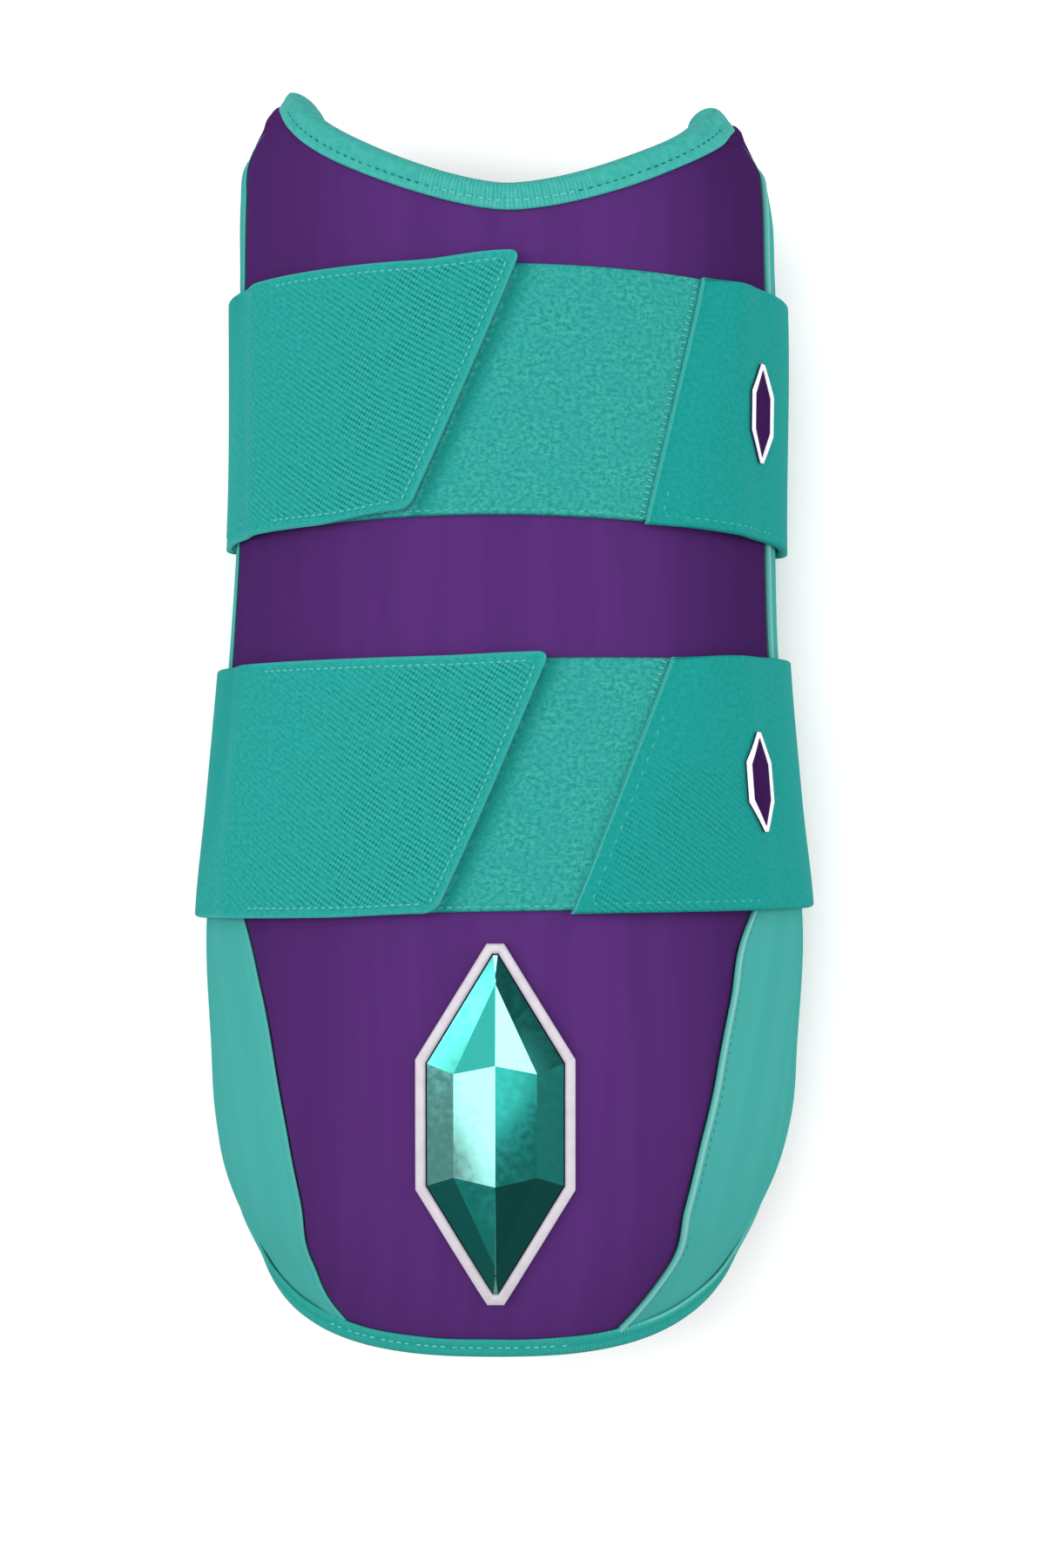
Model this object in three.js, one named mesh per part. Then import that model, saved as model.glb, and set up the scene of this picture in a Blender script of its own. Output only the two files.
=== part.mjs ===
import * as THREE from 'three';

// Elbow guard: a padded shell, open along its back, with a two-tone cover, a bound edge and two wrap straps.
// Millimetres. X runs across the arm, Y along it and Z up from the surface that the straps' back runs lie on.
// Angles run round the arm: 0 at the crown, a quarter turn at the widest place, half a turn at the back.

// Driving dimensions of the shell
const LENGTH = 250;
const HALF_WIDTH = 62;
const CROWN = 70;
const WIDEST = 28;
const BACK = 1;
const PANEL = 1.7;
const PAD = 5.5;
const RIM_PAD = 3;
const SWELL_START = 7;
const SWELL = 11;

// Rim of the shell: a scoop between two horns above, a cupped end below, and a wing on each side
const SCOOP_DEPTH = 20.4;
const SCOOP_RISE = { left: 24.7, right: 23.6 };
const SCOOP_FLATNESS = 1.65;
const HORN_ANGLE = 66;
const HORN_FALL = 5;
const HORN_ROUND = 2;
const HORN_LEAN = 1.3;
const CUP_RISE = 15.5;
const CUP_FLATNESS = 1.4;
const CUP_LEAN = 0.8;
const WING_ANGLE = 125;
const TOP_CORNER = { angle: 88, reach: 30 };
const CUP_CORNER = { angle: 90, reach: 33 };

// Edge binding
const BINDING = 1.1;
const LIP = 3.1;
const NOSE = 2.35;

// Straps and the loop patches that they close on
const STRAP = 2;
const STRAP_WIDTH = 50.8;
const TAB = 2.6;
const LOOP = 1.2;
const LOOP_WIDTH = 49.6;
const LOOP_ANGLE = { left: 50, right: 44 };

// Angles over which a strap steps down past a loop patch and out over the wing's binding, counted from each,
// and over which it thickens into the hook tab, counted from the crown. The tab's end rises towards the horns
// over the last share of the strap.
const LOOP_RAMP = { start: 6, end: 17 };
const WING_RAMP = { start: 26, end: 14 };
const TAB_RAMP = { start: 65, end: 57 };
const TAB_RISE = 1.3;
const TAB_BEND = 0.94;
const DROOP_ANGLE = 100;

// Badge between the lower strap and the lower rim, and the small marks on the straps
const BADGE_ROOM = { belowStrap: 5.6, aboveRim: 11 };
const BADGE_PLATE = { x: -1.5, width: 31, shoulder: 0.36, tip: 3.4 };
const BADGE_RIM = { width: 2, rise: 1.7 };
const BADGE_RIDGE = { edge: 1.1, crest: 3 };
const MARK = { width: 8.4, height: 20, shoulder: 0.4, tip: 1.2, thick: 0.5 };

// Clearances: between covers and foam, under a strap, and across a seam
const GAP = 0.45;
const STRAP_GAP = 0.5;
const SEAM_GAP = 0.3;

// Sections from the cupped end to the horns. along is a share of LENGTH, halfWidth and sway of HALF_WIDTH,
// and crown of CROWN.
const SECTIONS = [
  { along: 0.0, halfWidth: 0.645, crown: 0.77, sway: -0.024 },
  { along: 0.03, halfWidth: 0.698, crown: 0.857, sway: -0.022 },
  { along: 0.06, halfWidth: 0.76, crown: 0.914, sway: -0.019 },
  { along: 0.09, halfWidth: 0.838, crown: 0.946, sway: -0.017 },
  { along: 0.13, halfWidth: 0.914, crown: 0.968, sway: -0.011 },
  { along: 0.18, halfWidth: 0.962, crown: 0.986, sway: -0.002 },
  { along: 0.24, halfWidth: 0.979, crown: 0.995, sway: 0.0 },
  { along: 0.33, halfWidth: 0.996, crown: 1.0, sway: 0.002 },
  { along: 0.44, halfWidth: 0.955, crown: 0.993, sway: 0.0 },
  { along: 0.57, halfWidth: 0.911, crown: 0.977, sway: 0.002 },
  { along: 0.64, halfWidth: 0.898, crown: 0.97, sway: 0.008 },
  { along: 0.87, halfWidth: 0.892, crown: 0.947, sway: 0.012 },
  { along: 0.93, halfWidth: 0.884, crown: 0.94, sway: 0.004 },
  { along: 0.956, halfWidth: 0.864, crown: 0.935, sway: -0.006 },
  { along: 0.98, halfWidth: 0.808, crown: 0.93, sway: -0.016 },
  { along: 1.0, halfWidth: 0.74, crown: 0.925, sway: -0.02 },
];
const ROUND_FRONT = 2.15;
const SQUARE_BACK = 3;

// Seams between the front panel and the side panels. along is a share of the way from the lower rim to the
// upper one, and left and right are shares of a quarter turn.
const SEAM = [
  { along: 0.0, left: 0.455, right: 0.355 },
  { along: 0.026, left: 0.534, right: 0.434 },
  { along: 0.055, left: 0.538, right: 0.484 },
  { along: 0.11, left: 0.492, right: 0.456 },
  { along: 0.165, left: 0.498, right: 0.454 },
  { along: 0.22, left: 0.525, right: 0.481 },
  { along: 0.28, left: 0.561, right: 0.512 },
  { along: 0.33, left: 0.617, right: 0.543 },
  { along: 0.35, left: 0.66, right: 0.585 },
  { along: 0.37, left: 0.71, right: 0.64 },
  { along: 0.41, left: 0.79, right: 0.72 },
  { along: 0.46, left: 0.832, right: 0.762 },
  { along: 0.55, left: 0.852, right: 0.772 },
  { along: 0.62, left: 0.862, right: 0.77 },
  { along: 0.87, left: 0.82, right: 0.77 },
  { along: 0.93, left: 0.808, right: 0.79 },
  { along: 0.955, left: 0.83, right: 0.834 },
  { along: 0.978, left: 0.89, right: 0.895 },
  { along: 1.0, left: 0.95, right: 0.95 },
];

// Straps. middle is the strap's centre line as a share of LENGTH, and droop how far it runs down at the sides
// as a share of STRAP_WIDTH. The ends are shares of the half width there, on the strap's upper and lower
// edge.
const STRAPS = [
  {
    name: 'upper', middle: 0.763, droop: 0.085, lean: 0.008,
    foldTop: 0.68, foldBottom: 0.48, tabTop: 0.035, tabBottom: -0.34, markTurn: 0.66,
  },
  {
    name: 'lower', middle: 0.452, droop: 0.02, lean: -0.02,
    foldTop: 0.57, foldBottom: 0.21, tabTop: 0.138, tabBottom: -0.235, markTurn: 0.6,
  },
];

const QUARTER = Math.PI / 2;
const evenly = (count) => Array.from({ length: count + 1 }, (_, k) => k / count);

// Columns and rows of the shell's grids, close together where the edges and corners turn.
const PAD_STOPS = [0, 0.022, 0.06, ...evenly(28).slice(3, 26), 0.94, 0.978, 1];
const BODY_STOPS = [
  0, 0.003, 0.011, 0.026, 0.052, 0.088, 0.13, 0.18, 0.24, 0.3, 0.33, 0.35, 0.37, 0.41, 0.46, 0.52, 0.6, 0.69,
  0.78, 0.87, 0.92, 0.94, 0.958, 0.978, 0.991, 0.9975, 1,
];
const RIM_STEPS = 160;
const BINDING_STATIONS = 86;
const TURN_COST = 8;

const radians = THREE.MathUtils.degToRad;
const mix = THREE.MathUtils.lerp;
const ease = (from, to, at) => THREE.MathUtils.smoothstep(at, from, to);

// Smooth curve through the rows of a table, straight past its ends.
function through(rows, column, at) {
  const last = rows.length - 1;
  const slope = (k) => (rows[k + 1][column] - rows[k][column]) / (rows[k + 1].along - rows[k].along);
  const span = (k) => rows[k + 1].along - rows[k].along;
  const lean = (k) => {
    if (k === 0) return slope(0);
    if (k === last) return slope(last - 1);
    return (slope(k - 1) * span(k) + slope(k) * span(k - 1)) / (span(k) + span(k - 1));
  };
  if (at <= 0) return rows[0][column] + at * lean(0);
  if (at >= 1) return rows[last][column] + (at - 1) * lean(last);
  const k = Math.min(last - 1, rows.findIndex((row) => row.along > at) - 1);
  const t = (at - rows[k].along) / span(k);
  const [before, after] = [rows[k][column], rows[k + 1][column]];
  const start = (2 * t ** 3 - 3 * t ** 2 + 1) * before + (t ** 3 - 2 * t ** 2 + t) * span(k) * lean(k);
  return start + (3 * t ** 2 - 2 * t ** 3) * after + (t ** 3 - t ** 2) * span(k) * lean(k + 1);
}

// Outer face of the cover: half an ellipse over the arm, a squarer curve under it.
const shareAt = (y) => y / LENGTH + 0.5;
const halfWidthAt = (y) => HALF_WIDTH * through(SECTIONS, 'halfWidth', shareAt(y));

function skin(angle, y) {
  const share = shareAt(y);
  const across = Math.sin(angle);
  const up = Math.cos(angle);
  const power = up >= 0 ? ROUND_FRONT : SQUARE_BACK;
  const reach = (Math.abs(across) ** power + Math.abs(up) ** power) ** (-1 / power);
  const height = up >= 0 ? CROWN * through(SECTIONS, 'crown', share) - WIDEST : WIDEST - BACK;
  const sway = HALF_WIDTH * through(SECTIONS, 'sway', share);
  return new THREE.Vector3(sway + halfWidthAt(y) * reach * across, y, WIDEST + height * reach * up);
}

const STEP = 1e-3;
const roundwards = (angle, y) => skin(angle + STEP, y).sub(skin(angle - STEP, y)).divideScalar(2 * STEP);
const lengthwards = (angle, y) => skin(angle, y + STEP).sub(skin(angle, y - STEP)).divideScalar(2 * STEP);
const outwards = (angle, y) => roundwards(angle, y).cross(lengthwards(angle, y)).normalize();
const lifted = (angle, y, lift) => skin(angle, y).addScaledVector(outwards(angle, y), lift);

// Angle at which the front of the skin is a share of its half width from the middle.
function angleAcross(share) {
  const across = Math.abs(share);
  const up = (1 - across ** ROUND_FRONT) ** (1 / ROUND_FRONT);
  return Math.sign(share) * Math.atan2(across, up);
}

// Rim of the shell
const smoothLeast = (a, b, round) => {
  const share = THREE.MathUtils.clamp(0.5 + (b - a) / (2 * round), 0, 1);
  return mix(b, a, share) - round * share * (1 - share);
};

function upperRim(angle) {
  const turn = Math.abs(angle);
  const rise = angle < 0 ? SCOOP_RISE.left : SCOOP_RISE.right;
  const scoop = LENGTH / 2 - SCOOP_DEPTH + rise * Math.sin(Math.min(turn, QUARTER)) ** SCOOP_FLATNESS;
  const horn = LENGTH / 2 - HORN_FALL * (turn - radians(HORN_ANGLE));
  return smoothLeast(scoop, horn, HORN_ROUND) - HORN_LEAN * Math.sin(angle);
}

function lowerRim(angle) {
  const cup = CUP_RISE * (1 - Math.cos(angle)) ** CUP_FLATNESS;
  return cup + CUP_LEAN * Math.max(0, Math.sin(angle)) ** 3 - LENGTH / 2;
}

function wingAngle(along) {
  const cut = (corner, distance) => {
    const share = THREE.MathUtils.clamp(1 - distance / corner.reach, 0, 1);
    return (WING_ANGLE - corner.angle) * (1 - Math.sqrt(1 - share ** 2));
  };
  return radians(WING_ANGLE - cut(TOP_CORNER, (1 - along) * LENGTH) - cut(CUP_CORNER, along * LENGTH));
}

const seamAngle = (side, along) => side * QUARTER * through(SEAM, side < 0 ? 'left' : 'right', along);
const lineAt = (angle, along) => mix(lowerRim(angle), upperRim(angle), along);

function rimLoop() {
  const count = RIM_STEPS;
  const places = [];
  const add = (side, along) => {
    const angle = side * wingAngle(along);
    places.push({ angle, y: lineAt(angle, along) });
  };
  const slow = (k) => (1 - Math.cos((Math.PI * k) / count)) / 2;
  for (let k = 0; k < count; k += 1) add((2 * k) / count - 1, 0);
  for (let k = 0; k < count; k += 1) add(1, slow(k));
  for (let k = 0; k < count; k += 1) add(1 - (2 * k) / count, 1);
  for (let k = 0; k < count; k += 1) add(-1, 1 - slow(k));
  return places.map((place) => ({ ...place, point: skin(place.angle, place.y) }));
}

const RIM = rimLoop();
const rimDistance = (point) => Math.min(...RIM.map((place) => place.point.distanceTo(point)));
const COVER = PANEL + GAP;
const RIM_DEPTH = COVER + RIM_PAD;

function padDepth(angle, y) {
  const distance = rimDistance(skin(angle, y));
  return RIM_DEPTH + (PAD - RIM_PAD) * ease(SWELL_START, SWELL_START + SWELL, distance);
}

// Closed body from points and faces, turned so that its faces point out.
function solid(points, faces) {
  let volume = 0;
  faces.forEach(([a, b, c]) => {
    volume += points[a].dot(new THREE.Vector3().crossVectors(points[b], points[c]));
  });
  const geometry = new THREE.BufferGeometry();
  geometry.setFromPoints(points);
  geometry.setIndex(faces.flatMap(([a, b, c]) => (volume > 0 ? [a, b, c] : [a, c, b])));
  geometry.computeVertexNormals();
  return geometry;
}

const quad = (a, b, c, d) => [[a, b, c], [a, c, d]];

// Closed wall between an outer and an inner face, each a function of two shares, on a grid of stops.
function wall(columns, rows, outer, inner) {
  const points = [outer, inner].flatMap((face) => rows.flatMap((v) => columns.map((u) => face(u, v))));
  const wide = columns.length;
  const high = rows.length;
  const at = (side, i, j) => side * wide * high + j * wide + i;
  const faces = [];
  for (let j = 0; j < high - 1; j += 1) {
    for (let i = 0; i < wide - 1; i += 1) {
      faces.push(...quad(at(0, i, j), at(0, i + 1, j), at(0, i + 1, j + 1), at(0, i, j + 1)));
      faces.push(...quad(at(1, i, j), at(1, i, j + 1), at(1, i + 1, j + 1), at(1, i + 1, j)));
    }
  }
  const [right, top] = [wide - 1, high - 1];
  for (let i = 0; i < right; i += 1) {
    faces.push(...quad(at(1, i, 0), at(1, i + 1, 0), at(0, i + 1, 0), at(0, i, 0)));
    faces.push(...quad(at(0, i, top), at(0, i + 1, top), at(1, i + 1, top), at(1, i, top)));
  }
  for (let j = 0; j < top; j += 1) {
    faces.push(...quad(at(1, 0, j + 1), at(1, 0, j), at(0, 0, j), at(0, 0, j + 1)));
    faces.push(...quad(at(1, right, j), at(1, right, j + 1), at(0, right, j + 1), at(0, right, j)));
  }
  return solid(points, faces);
}

// Closed ring: a closed profile carried through stations and back to the first one.
function ring(stations, profile, place) {
  const points = stations.flatMap((station) => profile.map((corner) => place(station, corner)));
  const sides = profile.length;
  const at = (k, m) => (k % stations.length) * sides + (m % sides);
  const faces = [];
  stations.forEach((_, k) => {
    profile.forEach((_corner, m) => {
      faces.push(...quad(at(k, m), at(k + 1, m), at(k + 1, m + 1), at(k, m + 1)));
    });
  });
  return solid(points, faces);
}

// Foam body and its cover panels
function padBody() {
  const face = (depth) => (u, v) => {
    const angle = (2 * u - 1) * wingAngle(v);
    const y = lineAt(angle, v);
    return lifted(angle, y, -depth(angle, y));
  };
  return wall(PAD_STOPS, BODY_STOPS, face(() => COVER), face(padDepth));
}

function frontPanel() {
  const face = (depth) => (u, v) => {
    const angle = mix(seamAngle(-1, v), seamAngle(1, v), u);
    return lifted(angle, lineAt(angle, v), -depth);
  };
  return wall(evenly(22), BODY_STOPS, face(0), face(PANEL));
}

function sidePanel(side) {
  const face = (depth) => (u, v) => {
    const share = side > 0 ? u : 1 - u;
    const seam = seamAngle(side, v) + (side * SEAM_GAP) / HALF_WIDTH;
    const angle = mix(seam, side * wingAngle(v), share);
    return lifted(angle, lineAt(angle, v), -depth);
  };
  return wall(evenly(9), BODY_STOPS, face(0), face(PANEL));
}

// Binding folded over the whole rim. Its stations crowd where the rim turns.
function bindingStations() {
  const size = RIM.length;
  const heading = RIM.map((place, k) => RIM[(k + 1) % size].point.clone().sub(place.point));
  const cost = heading.map((step, k) => {
    const bend = step.angleTo(heading[(k + size - 1) % size]);
    return step.length() / LIP + bend * TURN_COST;
  });
  const total = cost.reduce((sum, value) => sum + value, 0);
  const chosen = [];
  let travelled = 0;
  cost.forEach((value, k) => {
    if (travelled >= (chosen.length * total) / BINDING_STATIONS) {
      const along = heading[k].clone().add(heading[(k + size - 1) % size]).normalize();
      chosen.push({ ...RIM[k], along });
    }
    travelled += value;
  });
  return chosen;
}

// Turns round the binding's nose, in degrees from the front, at which it has its corners
const NOSE_TURNS = [40, 90, 140];

function edgeBinding() {
  const half = RIM_DEPTH / 2;
  const bulge = half + GAP + BINDING;
  const round = (degrees) => ({
    inward: -NOSE * Math.sin(radians(degrees)), lift: bulge * Math.cos(radians(degrees)) - half,
  });
  const profile = [
    { inward: LIP, lift: GAP }, { inward: LIP, lift: GAP + BINDING }, { inward: 0, lift: GAP + BINDING },
    ...NOSE_TURNS.map(round),
    { inward: 0, lift: -RIM_DEPTH - GAP - BINDING }, { inward: LIP, lift: -RIM_DEPTH - GAP - BINDING },
    { inward: LIP, lift: -RIM_DEPTH - GAP }, { inward: -GAP, lift: -RIM_DEPTH - GAP },
    { inward: -GAP, lift: GAP },
  ];
  const place = ({ angle, y, along }, { inward, lift }) => {
    const inside = outwards(angle, y).cross(along).multiplyScalar(inward);
    const way = roundwards(angle, y);
    const turn = inside.dot(way) / way.lengthSq();
    const shift = inside.addScaledVector(way, -turn).dot(lengthwards(angle, y));
    return lifted(angle + turn, y + shift / lengthwards(angle, y).lengthSq(), lift);
  };
  return ring(bindingStations(), profile, place);
}

// Line that a strap takes round the arm, and how far its inner face stands off the skin.
const turnFrom = (angle) => Math.abs(THREE.MathUtils.euclideanModulo(angle + Math.PI, 2 * Math.PI) - Math.PI);

function strapLine(strap, angle, across) {
  const sides = strap.droop * ease(0, radians(DROOP_ANGLE), turnFrom(angle));
  return (strap.middle - 0.5) * LENGTH - STRAP_WIDTH * (sides + strap.lean * Math.sin(angle)) + across;
}

const LOOP_TOP = GAP + LOOP;

function strapLift(angle) {
  const turn = turnFrom(angle);
  const reach = angle > Math.PI ? LOOP_ANGLE.left : LOOP_ANGLE.right;
  const ramp = ease(radians(reach + LOOP_RAMP.start), radians(reach + LOOP_RAMP.end), turn);
  const onLoop = LOOP_TOP * (1 - ramp);
  const wing = ease(radians(WING_ANGLE - WING_RAMP.start), radians(WING_ANGLE - WING_RAMP.end), turn);
  const onBinding = (GAP + BINDING + SEAM_GAP) * wing;
  return STRAP_GAP + onLoop + onBinding;
}

// Hook tab: the strap's free end, thicker over the front and the left side.
function strapThickness(angle) {
  const left = angle > Math.PI ? 1 : 0;
  return mix(TAB, STRAP, left ? ease(radians(TAB_RAMP.end), radians(TAB_RAMP.start), turnFrom(angle)) : 1);
}

function strapPoint(strap, angle, across, face) {
  const lift = strapLift(angle) + face * strapThickness(angle);
  const point = lifted(angle, strapLine(strap, angle, across), lift);
  point.z = Math.max(point.z, face ? 0 : STRAP);
  return point;
}

function strapBand(strap) {
  const face = (outer) => (u, v) => {
    const fold = angleAcross(mix(strap.foldBottom, strap.foldTop, v));
    const tab = 2 * Math.PI + angleAcross(mix(strap.tabBottom, strap.tabTop, v));
    const rise = TAB_RISE * ease(TAB_BEND, 1, u);
    return strapPoint(strap, mix(fold, tab, u), STRAP_WIDTH * (v - 0.5) + rise, outer);
  };
  return wall(evenly(62), evenly(3), face(1), face(0));
}

function loopPatch(strap) {
  const face = (lift) => (u, v) => {
    const angle = radians(mix(-LOOP_ANGLE.left, LOOP_ANGLE.right, u));
    return lifted(angle, strapLine(strap, angle, LOOP_WIDTH * (v - 0.5)), lift);
  };
  return wall(evenly(16), evenly(3), face(LOOP_TOP), face(GAP));
}

// Elongated hexagon with blunt tips: the same one drawn in by an inset, and half its width at a share of its
// half height.
const TIP_CUT = 1.1;
const drawnIn = (hexagon, inset) => ({
  ...hexagon,
  width: hexagon.width - 2 * inset,
  height: hexagon.height - 2 * inset,
  tip: hexagon.tip - TIP_CUT * inset,
});

function hexagonReach({ width, shoulder, tip }, share) {
  const narrowing = Math.max(0, Math.abs(share) - shoulder) / (1 - shoulder);
  return mix(width, tip, narrowing) / 2;
}

const BADGE_TOP = strapLine(STRAPS[1], 0, -STRAP_WIDTH / 2) - BADGE_ROOM.belowStrap;
const BADGE_FOOT = BADGE_ROOM.aboveRim - LENGTH / 2;
const BADGE = { ...BADGE_PLATE, y: (BADGE_TOP + BADGE_FOOT) / 2, height: BADGE_TOP - BADGE_FOOT };

const HEXAGON_STOPS = [-1, -0.68, -BADGE.shoulder, 0, BADGE.shoulder, 0.68, 1];

function badgePoint(x, y, lift) {
  const sway = HALF_WIDTH * through(SECTIONS, 'sway', shareAt(y));
  return lifted(angleAcross((x - sway) / halfWidthAt(y)), y, lift);
}

function badgeRim() {
  const right = HEXAGON_STOPS.map((share) => ({ side: 1, share }));
  const left = HEXAGON_STOPS.map((share) => ({ side: -1, share: -share }));
  const profile = [[0, 0], [0, 1], [1, 1], [1, 0]];
  const place = ({ side, share }, [inset, rise]) => {
    const outline = drawnIn(BADGE, inset * BADGE_RIM.width);
    const x = BADGE.x + side * hexagonReach(outline, share);
    return badgePoint(x, BADGE.y + (share * outline.height) / 2, GAP + rise * BADGE_RIM.rise);
  };
  return ring([...right, ...left], profile, place);
}

function badgeFacets() {
  const outline = drawnIn(BADGE, BADGE_RIM.width + SEAM_GAP);
  const face = (top) => (u, v) => {
    const crest = (1 - Math.abs(u)) * Math.min(1, (1 - Math.abs(v)) / (1 - BADGE.shoulder));
    const lift = GAP + top * mix(BADGE_RIDGE.edge, BADGE_RIDGE.crest, crest);
    return badgePoint(BADGE.x + u * hexagonReach(outline, v), BADGE.y + (v * outline.height) / 2, lift);
  };
  return wall([-1, -0.5, 0, 0.5, 1], HEXAGON_STOPS, face(1), face(0));
}

function strapMark(strap) {
  const centre = strap.markTurn * QUARTER;
  const radius = roundwards(centre, strapLine(strap, centre, 0)).length();
  const face = (top) => (u, v) => {
    const angle = centre + (u * hexagonReach(MARK, v)) / radius;
    const lift = strapLift(angle) + strapThickness(angle) + SEAM_GAP + top * MARK.thick;
    return lifted(angle, strapLine(strap, angle, (v * MARK.height) / 2), lift);
  };
  return wall([-1, 0, 1], HEXAGON_STOPS, face(1), face(0));
}

// Finishes
function finish(color, roughness, metalness = 0) {
  return new THREE.MeshStandardMaterial({ color, roughness, metalness });
}

const FOAM = finish(0x2e9c92, 0.95);
const PURPLE = finish(0x5b3179, 0.55);
const TEAL = finish(0x42aca5, 0.6);
const TAPE = finish(0x4aaea6, 0.75);
const WEBBING = finish(0x30a39b, 0.8);
const PILE = finish(0x33a69e, 1);
const SILVER = finish(0xd2cdd2, 0.35, 0.6);
const CHROME = finish(0x2fa398, 0.15, 0.9);
const PRINT = finish(0x402854, 0.6);

const group = new THREE.Group();

function add(name, geometry, material) {
  const mesh = new THREE.Mesh(geometry, material);
  mesh.name = name;
  group.add(mesh);
}

add('pad_body', padBody(), FOAM);
add('front_panel', frontPanel(), PURPLE);
add('side_panel_left', sidePanel(-1), TEAL);
add('side_panel_right', sidePanel(1), TEAL);
add('edge_binding', edgeBinding(), TAPE);
STRAPS.forEach((strap) => {
  add(`${strap.name}_loop_patch`, loopPatch(strap), PILE);
  add(`${strap.name}_strap`, strapBand(strap), WEBBING);
  add(`${strap.name}_strap_mark`, strapMark(strap), PRINT);
});
add('badge_rim', badgeRim(), SILVER);
add('badge_facets', badgeFacets(), CHROME);

// The origin is the middle of the footprint, on the surface that the back runs lie on.
const box = new THREE.Box3().setFromObject(group);
const middle = box.getCenter(new THREE.Vector3());
group.position.set(-middle.x, -middle.y, -box.min.z);

export default group;
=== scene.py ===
import math

import bpy
import numpy as np
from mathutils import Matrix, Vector


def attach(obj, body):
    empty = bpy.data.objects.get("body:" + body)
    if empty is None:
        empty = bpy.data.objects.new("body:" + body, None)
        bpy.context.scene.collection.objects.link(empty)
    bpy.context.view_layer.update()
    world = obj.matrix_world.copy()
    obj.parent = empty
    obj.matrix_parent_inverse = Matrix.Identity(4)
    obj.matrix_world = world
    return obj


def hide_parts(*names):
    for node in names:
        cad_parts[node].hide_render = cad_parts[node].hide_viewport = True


# Elbow guard, dressed in cloth. Lengths are millimetres up to the last step, which turns them into metres in
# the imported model's frame. X runs across the arm, Y along it and Z up. Angles run round the arm, from 0 at
# its crown. A table with the keys -1 and 1 holds a value for the left and the right side.

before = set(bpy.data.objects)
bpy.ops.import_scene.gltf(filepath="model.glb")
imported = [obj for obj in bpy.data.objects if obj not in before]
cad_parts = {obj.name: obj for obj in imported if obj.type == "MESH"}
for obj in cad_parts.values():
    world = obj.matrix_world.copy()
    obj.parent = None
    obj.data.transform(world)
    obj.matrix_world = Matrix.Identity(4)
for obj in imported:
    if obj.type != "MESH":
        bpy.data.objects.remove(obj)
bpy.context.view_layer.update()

# Driving dimensions, as in the solids
LENGTH = 250
HALF_WIDTH = 62
CROWN = 70
WIDEST = 28
BACK = 1
PANEL = 1.7
PAD = 5.5
RIM_PAD = 3
SWELL_START = 7
SWELL = 11
SCOOP_DEPTH = 20.4
SCOOP_RISE = {-1: 24.7, 1: 23.6}
SCOOP_FLATNESS = 1.65
HORN_ANGLE = 66
HORN_FALL = 5
HORN_ROUND = 2
HORN_LEAN = 1.3
CUP_RISE = 15.5
CUP_FLATNESS = 1.4
CUP_LEAN = 0.8
WING_ANGLE = 125
TOP_CORNER = (88, 30)
CUP_CORNER = (90, 33)
BINDING = 1.1
LIP = 3.1
NOSE = 2.35
STRAP = 2
STRAP_WIDTH = 50.8
TAB = 2.6
LOOP = 1.2
LOOP_WIDTH = 49.6
LOOP_LEFT = 50
LOOP_RIGHT = 44
LOOP_RAMP = (6, 17)
WING_RAMP = (26, 14)
TAB_RAMP = (57, 65)
TAB_BEND = 0.94
DROOP_ANGLE = 100
GAP = 0.45
STRAP_GAP = 0.5
SEAM_GAP = 0.3
ROUND_FRONT = 2.15
SQUARE_BACK = 3

# Sections: along, half width, crown and sway
SECTIONS = np.array([
    (0.0, 0.645, 0.77, -0.024), (0.03, 0.698, 0.857, -0.022), (0.06, 0.76, 0.914, -0.019),
    (0.09, 0.838, 0.946, -0.017), (0.13, 0.914, 0.968, -0.011), (0.18, 0.962, 0.986, -0.002),
    (0.24, 0.979, 0.995, 0.0), (0.33, 0.996, 1.0, 0.002), (0.44, 0.955, 0.993, 0.0),
    (0.57, 0.911, 0.977, 0.002), (0.64, 0.898, 0.97, 0.008), (0.87, 0.892, 0.947, 0.012),
    (0.93, 0.884, 0.94, 0.004), (0.956, 0.864, 0.935, -0.006), (0.98, 0.808, 0.93, -0.016),
    (1.0, 0.74, 0.925, -0.02),
])
HALF_WIDTHS, CROWNS, SWAYS = 1, 2, 3

# Seams between the front panel and the side panels: along, left turn and right turn
SEAM = np.array([
    (0.0, 0.455, 0.355), (0.026, 0.534, 0.434), (0.055, 0.538, 0.484), (0.11, 0.492, 0.456),
    (0.165, 0.498, 0.454), (0.22, 0.525, 0.481), (0.28, 0.561, 0.512), (0.33, 0.617, 0.543),
    (0.35, 0.66, 0.585), (0.37, 0.71, 0.64), (0.41, 0.79, 0.72), (0.46, 0.832, 0.762),
    (0.55, 0.852, 0.772), (0.62, 0.862, 0.77), (0.87, 0.82, 0.77), (0.93, 0.808, 0.79),
    (0.955, 0.83, 0.834), (0.978, 0.89, 0.895), (1.0, 0.95, 0.95),
])
LEFT_TURN, RIGHT_TURN = 1, 2

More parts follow.
